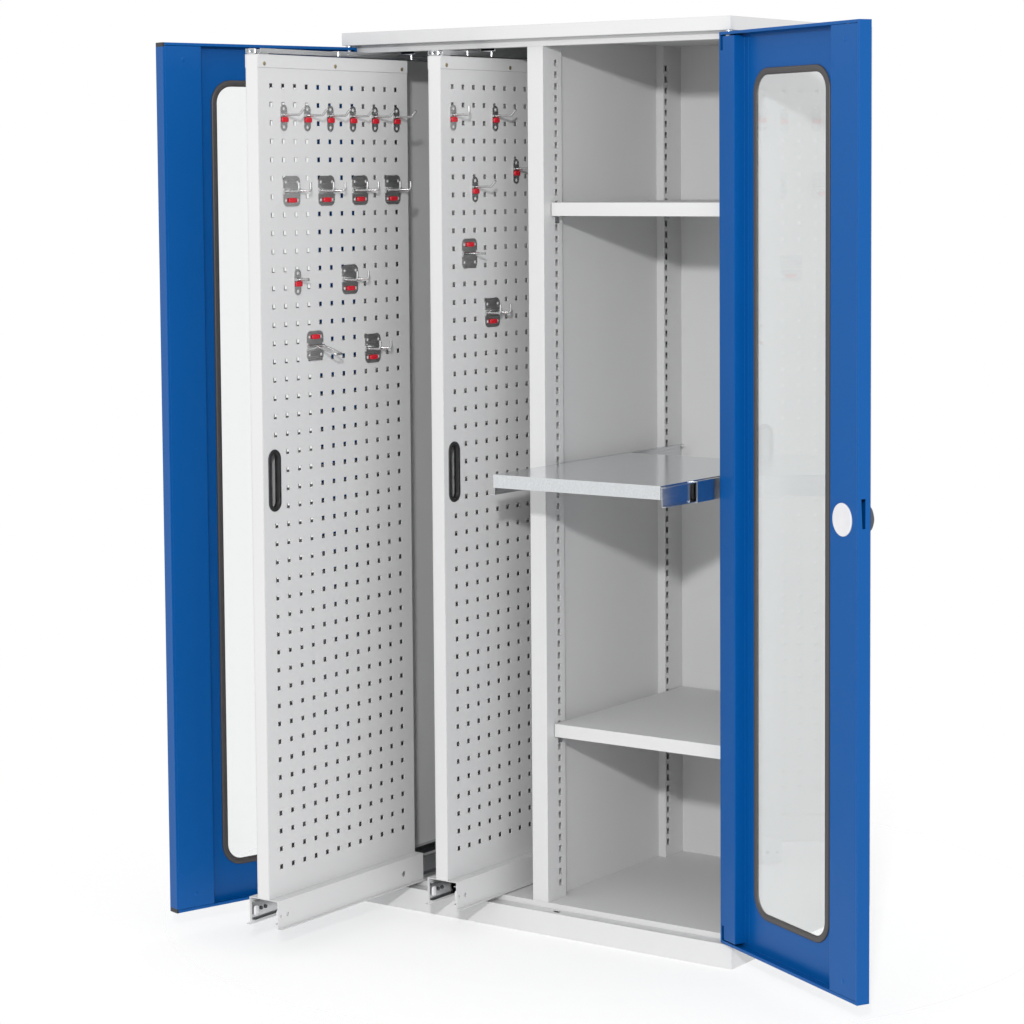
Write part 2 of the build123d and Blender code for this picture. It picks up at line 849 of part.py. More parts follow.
def hook_clip(y, z, width, height):
    """Plastic clip on the plate that locks the hook to the panel."""
    x0 = hook_plate_thickness
    return box(x0, x0 + hook_clip_thickness, y - width / 2, y + width / 2, z - height / 2, z + height / 2)


def narrow_clip():
    """Clip under the wire of a narrow hook."""
    z = -hook_wire_drop - (hook_peg + hook_clip_height) / 2 - hook_clip_gap
    return hook_clip(0, z, hook_plate_width, hook_clip_height)


def wide_clip(side):
    """Clip at the red end of a wide hook: its lower end, or the upper one of a plate turned over."""
    z = side * (hook_plate_drop + hook_eye_spread)
    return hook_clip(-side * hook_wide_shift, z, hook_wide_clip_width, hook_wide_clip_height)


def hook_place(column, row, wide):
    """Place of a hook whose plate starts at a column and a row of holes."""
    y = column_y(column) + (hole_pitch / 2 if wide else 0)
    return Pos(panel_thickness / 2, y, row_z(row) - hole_pitch / 2)


left_layout = [(single_hook(45), narrow_clip(), column, 1, False) for column in range(1, columns, 2)]
left_layout += [(double_hook(), wide_clip(-1), column, 5, True) for column in range(1, columns - 1, 3)]
left_layout += [
    (peg_hook(), narrow_clip(), 2, 10, False),
    (double_hook(), wide_clip(-1), 6, 10, True),
    (loop_hook(), wide_clip(1), 3, 14, True),
    (double_hook(), wide_clip(-1), 8, 14, True),
]
right_layout = [
    (single_hook(90), narrow_clip(), 0, 1, False),
    (single_hook(45), narrow_clip(), 4, 1, False),
    (single_hook(45), narrow_clip(), 6, 4, False),
    (single_hook(45), narrow_clip(), 2, 5, False),
    (Rot(180, 0, 0) * wide_peg_hook(), wide_clip(1), 1, 9, True),
    (double_hook(), wide_clip(-1), 3, 12, True),
]


def hooks(layout):
    """All hooks of one panel."""
    return group([hook_place(column, row, wide) * hook for hook, _, column, row, wide in layout])


def hook_clips(layout):
    """The clips of all hooks of one panel."""
    return group([hook_place(column, row, wide) * clip for _, clip, column, row, wide in layout])


# Doors, drawn closed as the left one: u runs from the hinge edge, d inwards from the outer face

def door_block(u0, u1, d0, d1, z0, z1):
    """Block in the door's own directions."""
    return box(u0 - half_width, u1 - half_width, front_y + d0, front_y + d1, z0, z1)


def rounded_door_block(u0, u1, d0, d1, z0, z1, radius):
    """Door block whose upright inner edge at the hinge is rounded."""
    block = door_block(u0, u1, d0, d1, z0, z1)
    upright = block.edges().filter_by(Axis.Z).sort_by(Axis.X)[:2]
    return fillet(upright.sort_by(Axis.Y)[-1], radius)


def window_outline(inset):
    """Window outline, drawn in from the outer edge of the seal."""
    height = door_top - door_bottom - window_bottom_margin - window_top_margin
    return RectangleRounded(window_width - 2 * inset, height - 2 * inset, window_corner - inset)


def window_plate(inset, d0, d1):
    """Solid with the window outline between two depths."""
    x = window_hinge_offset + window_width / 2 - half_width
    z = (door_bottom + window_bottom_margin + door_top - window_top_margin) / 2
    return facing_plate(window_outline(inset), x, z, front_y + d0, front_y + d1)


def door_skin():
    """Folded pan of a door with its rims, the window opening and the hinge slots."""
    t = door_sheet
    inner = door_thickness - t
    rim_low = door_bottom + door_lip
    rim_high = door_top - door_lip
    pan = rounded_door_block(0, door_width, 0, door_thickness, door_bottom, door_top, door_bend)
    pan -= rounded_door_block(t, door_width - t, t, inner, door_bottom + t, door_top - t, door_bend - t)
    pan -= door_block(door_hinge_return, door_width - door_lip, inner - t, inner + 2 * t, rim_low, rim_high)
    pan -= window_plate(seal_outer_groove, -t, 2 * t)
    x = -pivot_x
    pan -= rod(x, pivot_y, door_bottom - t, door_bottom + 2 * t, pin_hole)
    pan -= rod(x, pivot_y, door_top - 2 * t, door_top + t, pin_hole)
    u0 = pivot_inset - hinge_slot_width / 2
    u1 = pivot_inset + hinge_slot_width / 2
    for z, up in ((rim_low, 1), (rim_high, -1)):
        slot_end = z + up * hinge_slot_length
        gap_end = z + up * door_return_gap
        pan -= door_block(u0, u1, inner - t, inner + 2 * t, min(z, slot_end), max(z, slot_end))
        pan -= door_block(u0, door_hinge_return, inner - t, inner + 2 * t, min(z, gap_end), max(z, gap_end))
    return pan


def corner_cap_block(z0, z1):
    """Space of one corner cap at the free edge, behind the outer sheet."""
    return door_block(door_width - corner_cap_width, door_width, door_sheet, door_thickness, z0, z1)


def left_door_skin():
    """Door pan without the rim at its two free corners, where caps close it."""
    skin = door_skin() - corner_cap_block(door_top - corner_cap_height, door_top)
    return skin - corner_cap_block(door_bottom, door_bottom + corner_cap_height)


def corner_caps():
    """Plastic caps in the two free corners."""
    upper = corner_cap_block(door_top - corner_cap_height, door_top)
    return group([upper, corner_cap_block(door_bottom, door_bottom + corner_cap_height)])


def latch_slot():
    """Opening in the free edge for the latch, wider at the top."""
    low = lock_height + latch_slot_lift - latch_slot_height / 2
    high = low + latch_slot_height
    d = front_y + latch_slot_setback
    outline = Polygon(
        (d, low), (d + latch_slot_bottom, low), (d + latch_slot_top, high), (d, high), align=None
    )
    edge = door_width - half_width
    return side_plate(outline, 0, 0, edge - 2 * door_sheet, edge + door_sheet)


def right_door_skin():
    """Door pan with the holes of the lock, drawn as a left door."""
    x = lock_u - half_width
    y = front_y + rod_setback
    guide = rod_diameter + 2 * rod_guide_fit
    skin = door_skin()
    bore = spindle_diameter + 2 * pin_fit
    skin -= cross_rod(x, lock_height, front_y - door_sheet, front_y + 2 * door_sheet, bore)
    skin -= rod(x, y, door_bottom - door_sheet, door_bottom + 2 * door_sheet, guide)
    skin -= rod(x, y, door_top - 2 * door_sheet, door_top + door_sheet, guide)
    return skin - latch_slot()


def door_stiffeners():
    """Two upright profiles that stiffen a door beside its window."""
    inner = door_thickness - door_sheet
    z0 = door_bottom + door_lip + door_return_gap
    z1 = door_top - door_lip - door_return_gap
    flange_end = door_hinge_return + door_hinge_flange
    hinge = door_block(door_hinge_return - door_sheet, door_hinge_return, door_sheet, inner, z0, z1)
    hinge += door_block(door_hinge_return, flange_end, door_sheet, 2 * door_sheet, z0, z1)
    z0 = door_bottom + door_lip + door_rim_gap
    z1 = door_top - door_lip - door_rim_gap
    lock_start = door_width - door_lock_box
    lock = door_block(lock_start, door_width - door_lip, inner, door_thickness, z0, z1)
    lock += door_block(lock_start, lock_start + door_sheet, door_sheet, inner, z0, z1)
    return group([hinge, lock])


def window_pane():
    """Clear pane held in the inner groove of the seal."""
    return window_plate(seal_band - seal_inner_groove, 0, pane_thickness)


def window_seal():
    """Rubber profile with a groove for the door sheet and one for the pane."""
    seal = window_plate(0, -seal_front, seal_thickness - seal_front)
    seal -= window_plate(seal_band, -seal_front, seal_thickness - seal_front)
    seal -= window_plate(0, 0, door_sheet) - window_plate(seal_outer_groove, 0, door_sheet)
    return seal - window_pane()


def hinge_bushes():
    """Sleeves on the inside of the pan that turn on the hinge pins."""
    z0 = door_bottom + door_sheet
    z1 = door_top - door_sheet
    bore = pin_diameter + 2 * pin_fit
    bushes = []
    for low, high in ((z0, z0 + bush_length), (z1 - bush_length, z1)):
        sleeve = rod(-pivot_x, pivot_y, low, high, collar_diameter)
        bushes.append(sleeve - rod(-pivot_x, pivot_y, low, high, bore))
    return group(bushes)


def hinge_pins():
    """Collared pins on the base ledge and under the ceiling, at both sides."""
    low_collar = door_bottom - running_gap
    high_collar = door_top + running_gap
    lower = rod(-pivot_x, pivot_y, base_height, low_collar, collar_diameter)
    lower += rod(-pivot_x, pivot_y, base_height, base_height + pin_reach, pin_diameter)
    upper = rod(-pivot_x, pivot_y, high_collar, ceiling_z, collar_diameter)
    upper += rod(-pivot_x, pivot_y, ceiling_z - pin_reach, ceiling_z, pin_diameter)
    return group([lower, upper, mirrored(lower), mirrored(upper)])


# Lock, drawn on a closed left door and mirrored with the right one

def lock_box():
    """Body of the lock, screwed to the inside of the pan, open to the rods."""
    x = lock_u - half_width
    half = lock_box_width / 2
    low = lock_height - lock_box_height / 2
    high = lock_height + lock_box_height / 2
    d0 = door_sheet
    d1 = door_thickness - door_sheet - running_gap
    wall = lock_box_wall
    body = door_block(lock_u - half, lock_u + half, d0, d1, low, high)
    u0 = lock_u - half + wall
    u1 = lock_u + half - wall
    body -= door_block(u0, u1, d0 + wall, d1 - wall, low + wall, high - wall)
    body -= cross_rod(x, lock_height, front_y, front_y + d0 + 2 * wall, spindle_diameter + 2 * pin_fit)
    guide = rod_diameter + 2 * rod_guide_fit
    return body - rod(x, front_y + rod_setback, low - wall, high + wall, guide)


def lock_cap():
    """Round plastic cap on the inside of the door over the lock."""
    x = lock_u - half_width
    y0 = front_y + door_thickness
    cap = cross_rod(x, lock_height, y0, y0 + lock_cap_thickness, lock_cap_diameter)
    return fillet(cap.edges().group_by(Axis.Y)[-1], lock_cap_thickness / 2)


def lock_knob():
    """Outer turning knob, hollow behind, with its spindle and the cam inside the lock body."""
    x = lock_u - half_width
    y0 = front_y - knob_gap - knob_depth
    knob = cross_rod(x, lock_height, y0, front_y - knob_gap, knob_diameter)
    knob = chamfer(knob.edges().group_by(Axis.Y)[0], knob_edge)
    hollow = knob_diameter - 2 * knob_wall
    knob -= cross_rod(x, lock_height, y0 + knob_face, front_y, hollow)
    knob += cross_rod(x, lock_height, y0 + knob_edge, front_y - knob_gap, knob_boss)
    cam_end = front_y + rod_setback + cam_thickness / 2
    knob += cross_rod(x, lock_height, front_y - knob_gap, cam_end, spindle_diameter)
    return knob + cross_rod(x, lock_height, cam_end - cam_thickness, cam_end, cam_diameter)


def upper_lock_rod():
    """Rod from the cam up to the top edge of the door."""
    start = lock_height + cam_diameter / 2 + rod_cam_gap
    return rod(lock_u - half_width, front_y + rod_setback, start, door_top - rod_end_recess, rod_diameter)


def lower_lock_rod():
    """Rod from the cam down to the lower edge of the door."""
    end = lock_height - cam_diameter / 2 - rod_cam_gap
    return rod(lock_u - half_width, front_y + rod_setback, door_bottom + rod_end_recess, end, rod_diameter)


def opened_left(shape):
    """Swing a piece of the closed left door to its resting angle."""
    return shape.rotate(Axis((-pivot_x, pivot_y, 0), (0, 0, 1)), -left_door_angle)


def opened_right(shape):
    """Mirror a piece of the closed left door and swing it to the right door's resting angle."""
    return mirrored(shape).rotate(Axis((pivot_x, pivot_y, 0), (0, 0, 1)), right_door_angle)


def body_pieces():
    """Pieces that stand still."""
    panel_places = (left_panel_x, right_panel_x)
    floor_slides = fixed_floor_slides()
    return {
        "base_plinth": base_plinth(),
        "floor_deck": floor_deck(),
        "left_wall": left_wall(),
        "right_wall": right_wall(),
        "back_panel": back_panel(),
        "roof_cap": roof_cap(),
        "ceiling_panel": ceiling_panel(),
        "top_rail": top_rail(),
        "partition_sheet": partition_sheet(),
        "partition_front_post": partition_front_post(),
        "partition_rear_post": partition_rear_post(),
        "right_front_post": right_front_post(),
        "right_rear_post": right_rear_post(),
        "upper_shelf": fixed_shelf(upper_shelf_slot),
        "lower_shelf": fixed_shelf(lower_shelf_slot),
        "shelf_clips": shelf_clips(),
        "shelf_slides_fixed": shelf_slides_fixed(),
        "hinge_pins": hinge_pins(),
        "floor_slides_fixed": group([Pos(x, 0, 0) * s for x in panel_places for s in floor_slides]),
        "top_tracks": group([Pos(x, 0, 0) * fixed_top_track() for x in panel_places]),
    }


def pullout_pieces(side, x, out, layout, plain, gripped):
    """Pieces of one pull-out panel, named after its side."""
    pieces = {
        "sheet_right": gripped,
        "sheet_left": mirrored(plain),
        "frame": panel_frame(),
        "cap": panel_cap(),
        "carriage": carriage(),
        "runners": carriage_runners(),
        "grip_ring": grip_ring(),
        "hooks": hooks(layout),
        "hook_clips": hook_clips(layout),
    }
    named = {f"{side}_pullout_{name}": placed(shape, x, out) for name, shape in pieces.items()}
    named[f"{side}_pullout_mid_slides"] = placed(middle_runners(), x, out / 2)
    return named


def door_pieces(side, skin, opened):
    """Pieces that both doors have, swung open and named after the side."""
    pieces = {
        "skin": skin,
        "stiffeners": door_stiffeners(),
        "pane": window_pane(),
        "seal": window_seal(),
        "bushes": hinge_bushes(),
    }
    return {f"{side}_door_{name}": opened(shape) for name, shape in pieces.items()}


def write(pieces):
    """Write each piece to its own file."""
    os.makedirs("parts", exist_ok=True)
    for name, shape in pieces.items():
        export_step(shape, f"parts/{name}.step")


plain_sheet = perforated_sheet(False)
gripped_sheet = perforated_sheet(True)

write(body_pieces())
write(pullout_pieces("left", left_panel_x, left_panel_out, left_layout, plain_sheet, gripped_sheet))
write(pullout_pieces("right", right_panel_x, right_panel_out, right_layout, plain_sheet, gripped_sheet))
write({
    "sliding_shelf": sliding_shelf(),
    "shelf_slides_moving": shelf_slides_moving(),
    "shelf_slides_middle": shelf_slides_middle(),
})
write(door_pieces("left", left_door_skin(), opened_left))
write(door_pieces("right", right_door_skin(), opened_right))
write({
    "left_door_corner_caps": opened_left(corner_caps()),
    "right_door_lock_box": opened_right(lock_box()),
    "right_door_lock_cap": opened_right(lock_cap()),
    "lock_knob": opened_right(lock_knob()),
    "upper_lock_rod": opened_right(upper_lock_rod()),
    "lower_lock_rod": opened_right(lower_lock_rod()),
})
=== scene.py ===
import json
import math

import bmesh
import bpy
import numpy as np
from mathutils import Matrix, Vector


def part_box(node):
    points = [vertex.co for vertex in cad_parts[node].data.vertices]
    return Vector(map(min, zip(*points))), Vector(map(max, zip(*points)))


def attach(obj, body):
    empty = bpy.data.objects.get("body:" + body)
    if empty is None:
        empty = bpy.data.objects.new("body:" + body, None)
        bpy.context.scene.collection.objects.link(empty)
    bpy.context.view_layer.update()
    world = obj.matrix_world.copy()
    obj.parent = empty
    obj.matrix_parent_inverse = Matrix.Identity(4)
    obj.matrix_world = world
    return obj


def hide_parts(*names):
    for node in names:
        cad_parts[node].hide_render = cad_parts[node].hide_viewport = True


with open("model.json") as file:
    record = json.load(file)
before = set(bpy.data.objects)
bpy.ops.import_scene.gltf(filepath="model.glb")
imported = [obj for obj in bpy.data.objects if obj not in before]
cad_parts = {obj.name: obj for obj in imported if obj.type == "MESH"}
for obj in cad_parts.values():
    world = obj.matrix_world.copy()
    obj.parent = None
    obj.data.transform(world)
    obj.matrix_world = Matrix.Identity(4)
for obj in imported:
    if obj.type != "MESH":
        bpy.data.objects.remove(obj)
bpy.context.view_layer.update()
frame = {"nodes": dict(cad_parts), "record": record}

# Camera: the lens in pixels, the row where its axis meets the picture, its place and its turns
PICTURE_SIZE = 1024
SENSOR_WIDTH = 36.0
FOCAL_PIXELS = 2759.7
AXIS_ROW = 385
CAMERA_PLACE = (3.3704, -5.0972, 1.6367)
CAMERA_YAW = -35.445
CAMERA_PITCH = -4.376
CAMERA_ROLL = -0.422

# Room: the small key light beside the camera and the white all round, then the floor: its white,
# how far it lets the room through near the cabinet, and the radii where it starts to fade and ends
KEY_PLACE = (3.35, -5.4, 2.8)
KEY_SIZE = 0.2
KEY_WATTS = 200.0
KEY_AIM = (0.0, 0.0, 1.0)
ROOM_WHITE = (1.0, 1.0, 1.0)
ROOM_STRENGTH = 1.0
FLOOR_WHITE = (0.97, 0.97, 0.97)
FLOOR_CLEAR = 0.62
FLOOR_FULL = 0.7
FLOOR_GONE = 1.6

# The two doors as they stand open, in degrees from closed
LEFT_DOOR_OPEN = 106.5
RIGHT_DOOR_OPEN = 152.5

# Door measures that the rubber, the knob and the cap follow, in metres
HALF_WIDTH = 0.5
FRONT_FACE = -0.3
PIVOT_INSET = 0.011
DOOR_THICKNESS = 0.028
DOOR_BOTTOM = 0.053
DOOR_TOP = 1.918
WINDOW_START = 0.093
WINDOW_WIDTH = 0.273
WINDOW_BOTTOM_MARGIN = 0.075
WINDOW_TOP_MARGIN = 0.076
WINDOW_CORNER = 0.050
SEAL_BAND = 0.014
SEAL_FRONT = 0.003
SEAL_THICKNESS = 0.009
SEAL_ROUNDNESS = 3.2
SEAL_CORNER_STEPS = 14
SEAL_SECTION_STEPS = 28
LOCK_FROM_HINGE = 0.448
LOCK_HEIGHT = 0.979
LOCK_CAP_RADIUS = 0.032
LOCK_CAP_THICKNESS = 0.003
LOCK_CAP_FACE_INSET = 0.002
LOCK_CAP_DISH = 0.0004
LOCK_CAP_RIM = 0.0015
LOCK_CAP_STEPS = 64
KNOB_RADIUS = 0.029
KNOB_DEPTH = 0.025
KNOB_GAP = 0.0003
KNOB_EDGE = 0.003
KNOB_BASE = 0.010
KNOB_BASE_EDGE = 0.0006
KNOB_DOME = 0.001
KNOB_STEPS = 96
FLUTES = 8
FLUTE_START = 0.020
FLUTE_BLEND = 0.008
FLUTE_SHARE = 0.02

# Small fittings: screws of the panel caps, the plates over the panels and the rivets of the doors
CAP_SHEET = 0.0012
CAP_SCREW_DROP = 0.018
CAP_SCREW_MARGIN = 0.020
CAP_SCREW_RADIUS = 0.0042
CAP_SCREW_HEAD = 0.0018
BRACKET_WIDTH = 0.022
BRACKET_SHEET = 0.0015
BRACKET_HOLE_SHARE = 0.55
CARRIAGE_HALF = 0.0375
SLIDE_DEPTH = 0.0127
SLIDE_SCREW_DEPTH = 0.0025
SLIDE_SCREW_RADIUS = 0.0040
SLIDE_SCREW_HEAD = 0.0016
SLIDE_SCREW_FIRST = 0.034
SLIDE_SCREW_SECOND = 0.048
SLIDE_SCREW_LAST = 0.060
SLIDE_LIFT = 0.029
CAGE_HALF_SIZES = (0.0030, 0.006, 0.010)
TRAY_CAGE_HALF_WIDTH = 0.0035
TRAY_CAGE_HALF_LENGTH = 0.007
TRAY_CAGE_MARGIN = 0.003

# Powers of the rounded blocks: one is a ball, and towards zero a brick
CLIP_ROUNDNESS = 0.45
CAGE_ROUNDNESS = 0.5
TRAY_CAGE_ROUNDNESS = 0.4

# Setbacks of the cages and rivets
CAGE_SETBACK = 0.012
RIVET_MARGIN = 0.035
RIVET_SETBACK = 0.050

# Screw heads, as shares of their radius and height: the rim, and the half width, reach and depth of the cross
SCREW_RIM = 0.35
CROSS_WIDTH = 0.14
CROSS_REACH = 0.55
CROSS_DEPTH = 0.45

# Folds of the sheet metal are rounded by this much in the finish, and the painted fold highlight is as wide
BEND_RADIUS = 0.0016

# Points closer than this are one point
MERGE_DISTANCE = 1e-6

# Hand opening of the pull-out panels
GRIP_LENGTH = 0.130
GRIP_WIDTH = 0.040
GRIP_WALL = 0.009
GRIP_LIP = 0.0048
GRIP_LIP_ROUNDNESS = 2.6
GRIP_SLEEVE_STEP = 0.0005
GRIP_SLEEVE_INNER = 0.006


# Meshes

def mesh_object(name, vertices, faces, smooth=True):
    """Object at the origin from an array of points and an array of quads; doubled points are merged."""
    mesh = bpy.data.meshes.new(name)
    mesh.from_pydata(vertices.reshape(-1, 3).tolist(), [], faces.reshape(-1, 4).tolist())
    work = bmesh.new()
    work.from_mesh(mesh)
    bmesh.ops.remove_doubles(work, verts=work.verts, dist=MERGE_DISTANCE)
    bmesh.ops.recalc_face_normals(work, faces=work.faces)
    work.to_mesh(mesh)
    work.free()
    mesh.polygons.foreach_set("use_smooth", np.full(len(mesh.polygons), smooth))
    made = bpy.data.objects.new(name, mesh)
    bpy.context.scene.collection.objects.link(made)
    return made


def grid_faces(rows, columns, close_rows, close_columns, offset=0):
    """Quads between neighbours of a grid of rows by columns points, wrapped round where it closes."""
    row = np.arange(rows if close_rows else rows - 1)[:, None]
    column = np.arange(columns if close_columns else columns - 1)[None, :]
    next_row = (row + 1) % rows
    next_column = (column + 1) % columns
    corners = (
        row * columns + column,
        next_row * columns + column,
        next_row * columns + next_column,
        row * columns + next_column,
    )
    return np.stack(corners, axis=-1).reshape(-1, 4) + offset


def surface(name, grids, close_rows=False, close_columns=False):
    """One object from a list of equal grids of points, each a surface of its own."""
    vertices = np.concatenate([grid.reshape(-1, 3) for grid in grids])
    rows, columns = grids[0].shape[:2]
    faces = [
        grid_faces(rows, columns, close_rows, close_columns, i * rows * columns) for i in range(len(grids))
    ]
    return mesh_object(name, vertices, np.concatenate(faces))


def rounded_outline(width, height, radius, steps):
    """Points and outward normals of a rectangle with round corners.

    Each corner is radius * (cos a, sin a) about its own centre, with a over one quarter turn.
    """
    turns = np.linspace(0, math.pi / 2, steps)
    points = []
    normals = []
    for quarter, (side_x, side_y) in enumerate(((1, 1), (-1, 1), (-1, -1), (1, -1))):
        angle = turns + quarter * math.pi / 2
        normal = np.stack((np.cos(angle), np.sin(angle)), axis=-1)
        centre = np.array((side_x * (width / 2 - radius), side_y * (height / 2 - radius)))
        points.append(centre + radius * normal)
        normals.append(normal)
    return np.concatenate(points), np.concatenate(normals)


def carried_profile(outline, profile):
    """Grid of points (a, b, depth): a profile of (inward, depth) carried round an outline.

    A point is outline - inward * normal in the plane, and depth across it.
    """
    points, normals = outline
    flat = points[:, None, :] - profile[None, :, 0:1] * normals[:, None, :]
    depth = np.broadcast_to(profile[None, :, 1:2], flat.shape[:2] + (1,))
    return np.concatenate((flat, depth), axis=-1)


def rounded_section(width, thickness, power, steps):
    """Closed cross-section of a moulded strip: a superellipse, |x/a|^p + |y/b|^p = 1, from 0 to width."""
    angle = np.linspace(0, 2 * math.pi, steps, endpoint=False)
    cosine, sine = np.cos(angle), np.sin(angle)
    x = np.sign(cosine) * np.abs(cosine) ** (2 / power) * width / 2 + width / 2
    y = np.sign(sine) * np.abs(sine) ** (2 / power) * thickness / 2 + thickness / 2
    return np.stack((x, y), axis=-1)


def turned(profile, steps, ripple=None):
    """Grid of points (a, b, depth): a profile of (radius, depth) turned about the depth axis.

    ripple(radius, angle) gives a share by which the radius shrinks, for finger flutes.
    """
    angle = np.linspace(0, 2 * math.pi, steps, endpoint=False)[:, None]
    radius = profile[None, :, 0]
    if ripple is not None:
        radius = radius * (1 - ripple(radius, angle))
    depth = np.broadcast_to(profile[None, :, 1], (steps, len(profile)))
    radius = np.broadcast_to(radius, depth.shape)
    return np.stack((radius * np.cos(angle), radius * np.sin(angle), depth), axis=-1)


def pillow(centre, half_sizes, power, rows=14, columns=20):
    """Grid of a rounded block: each coordinate is its half size times a signed power of the sphere's own."""
    up = np.linspace(-math.pi / 2, math.pi / 2, rows)[:, None]
    around = np.linspace(0, 2 * math.pi, columns, endpoint=False)[None, :]

    def flattened(value):
        """Signed power, which pushes a round form out towards a block."""
        return np.sign(value) * np.abs(value) ** power

    x = flattened(np.cos(up)) * flattened(np.cos(around))
    y = flattened(np.cos(up)) * flattened(np.sin(around))
    z = flattened(np.sin(up)) * np.ones_like(around)
    return np.stack((x, y, z), axis=-1) * np.array(half_sizes) + np.array(centre)


# Places on the doors

def door_places(side, across, height, depth):
    """Points of an open door from distances across it from the hinge edge, heights and depths from outside.

    The closed place is turned about the hinge pin by the opening angle.
    """
    sign = -1 if side == "left" else 1
    opening = math.radians(LEFT_DOOR_OPEN if side == "left" else RIGHT_DOOR_OPEN) * sign
    pivot = np.array((sign * (HALF_WIDTH - PIVOT_INSET), FRONT_FACE + PIVOT_INSET))
    x = sign * (HALF_WIDTH - across) - pivot[0]
    y = FRONT_FACE + depth - pivot[1]
    turned_x = x * math.cos(opening) - y * math.sin(opening) + pivot[0]
    turned_y = x * math.sin(opening) + y * math.cos(opening) + pivot[1]
    return np.stack((turned_x, turned_y, height), axis=-1)


def window_seal(side):
    """Rubber strip with a round section round one window."""
    height = DOOR_TOP - DOOR_BOTTOM - WINDOW_BOTTOM_MARGIN - WINDOW_TOP_MARGIN
    outline = rounded_outline(WINDOW_WIDTH, height, WINDOW_CORNER, SEAL_CORNER_STEPS)
    section = rounded_section(SEAL_BAND, SEAL_THICKNESS, SEAL_ROUNDNESS, SEAL_SECTION_STEPS)
    grid = carried_profile(outline, section)
    middle = DOOR_BOTTOM + WINDOW_BOTTOM_MARGIN + height / 2
    across = WINDOW_START + WINDOW_WIDTH / 2 + grid[..., 0]
    places = door_places(side, across, middle + grid[..., 1], grid[..., 2] - SEAL_FRONT)
    strip = surface(f"{side}_window_rubber", [places], True, True)
    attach(strip, f"{side}_door")
    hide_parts(f"{side}_door_seal")
    return strip


def lock_disc(name, body, profile, steps, ripple=None):
    """Round piece on the right door, centred on the lock, from a profile of (radius, depth)."""
    grid = turned(profile, steps, ripple)
    places = door_places("right", LOCK_FROM_HINGE + grid[..., 0], LOCK_HEIGHT + grid[..., 1], grid[..., 2])
    disc = surface(name, [places], True, False)
    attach(disc, body)
    return disc


def lock_cover():
    """White cap on the inside: a flat face, dished by a shallow cosine, with a round rim."""
    radius = np.linspace(0, LOCK_CAP_RADIUS - LOCK_CAP_FACE_INSET, 12)
    dish = LOCK_CAP_DISH * (1 + np.cos(math.pi * radius / LOCK_CAP_RADIUS)) / 2
    face = np.stack((radius, DOOR_THICKNESS + LOCK_CAP_THICKNESS - dish), axis=-1)
    turn = np.linspace(math.pi / 2, 0, 7)[1:]
    rim_radius = LOCK_CAP_RADIUS - LOCK_CAP_RIM + LOCK_CAP_RIM * np.cos(turn)
    rim_depth = DOOR_THICKNESS + LOCK_CAP_THICKNESS - LOCK_CAP_RIM + LOCK_CAP_RIM * np.sin(turn)
    rim = np.stack((rim_radius, rim_depth), axis=-1)
    base = np.array(((LOCK_CAP_RADIUS, DOOR_THICKNESS), (0.0, DOOR_THICKNESS)))
    cap = lock_disc("lock_cover", "right_door", np.concatenate((face, rim, base)), LOCK_CAP_STEPS)
    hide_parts("right_door_lock_cap")
    return cap


def turning_knob():
    """Outer knob: a blue base disc and a domed dark head whose rim has eight shallow finger flutes."""
    back = -KNOB_GAP
    front = -KNOB_GAP - KNOB_DEPTH
    turn = np.linspace(0, math.pi / 2, 8)
    shoulder_radius = KNOB_RADIUS - KNOB_EDGE + KNOB_EDGE * np.cos(turn)
    shoulder_depth = front + KNOB_EDGE - KNOB_EDGE * np.sin(turn)
    shoulder = np.stack((shoulder_radius, shoulder_depth), axis=-1)
    radius = np.linspace(KNOB_RADIUS - KNOB_EDGE, 0, 8)[1:]
    crown = KNOB_DOME * (radius / (KNOB_RADIUS - KNOB_EDGE)) ** 2
    dome = np.stack((radius, front + crown), axis=-1)
    foot = np.array(((0.0, back - KNOB_BASE), (KNOB_RADIUS, back - KNOB_BASE)))

    def flutes(radius, angle):
        """A raised cosine round the rim, faded in from the radius where the flutes start."""
        rim = np.clip((radius - FLUTE_START) / FLUTE_BLEND, 0, 1)
        return FLUTE_SHARE * rim * (1 - np.cos(FLUTES * angle)) / 2

    head = np.concatenate((foot, shoulder, dome))
    knob = lock_disc("turning_knob", "lock_knob", head, KNOB_STEPS, flutes)
    wear(knob, "knob_plastic")
    rim_radius = KNOB_RADIUS - KNOB_BASE_EDGE + KNOB_BASE_EDGE * np.cos(turn)
    rim_depth = back - KNOB_BASE + KNOB_BASE_EDGE - KNOB_BASE_EDGE * np.sin(turn)
    rim = np.stack((rim_radius, rim_depth), axis=-1)
    behind = np.array(((0.0, back), (KNOB_RADIUS, back)))
    middle = np.array(((0.0, back - KNOB_BASE),))
    disc = np.concatenate((behind, rim, middle))
    base = lock_disc("knob_base", "lock_knob", disc, KNOB_STEPS)
    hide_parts("lock_knob")
    wear(base, "door_blue")


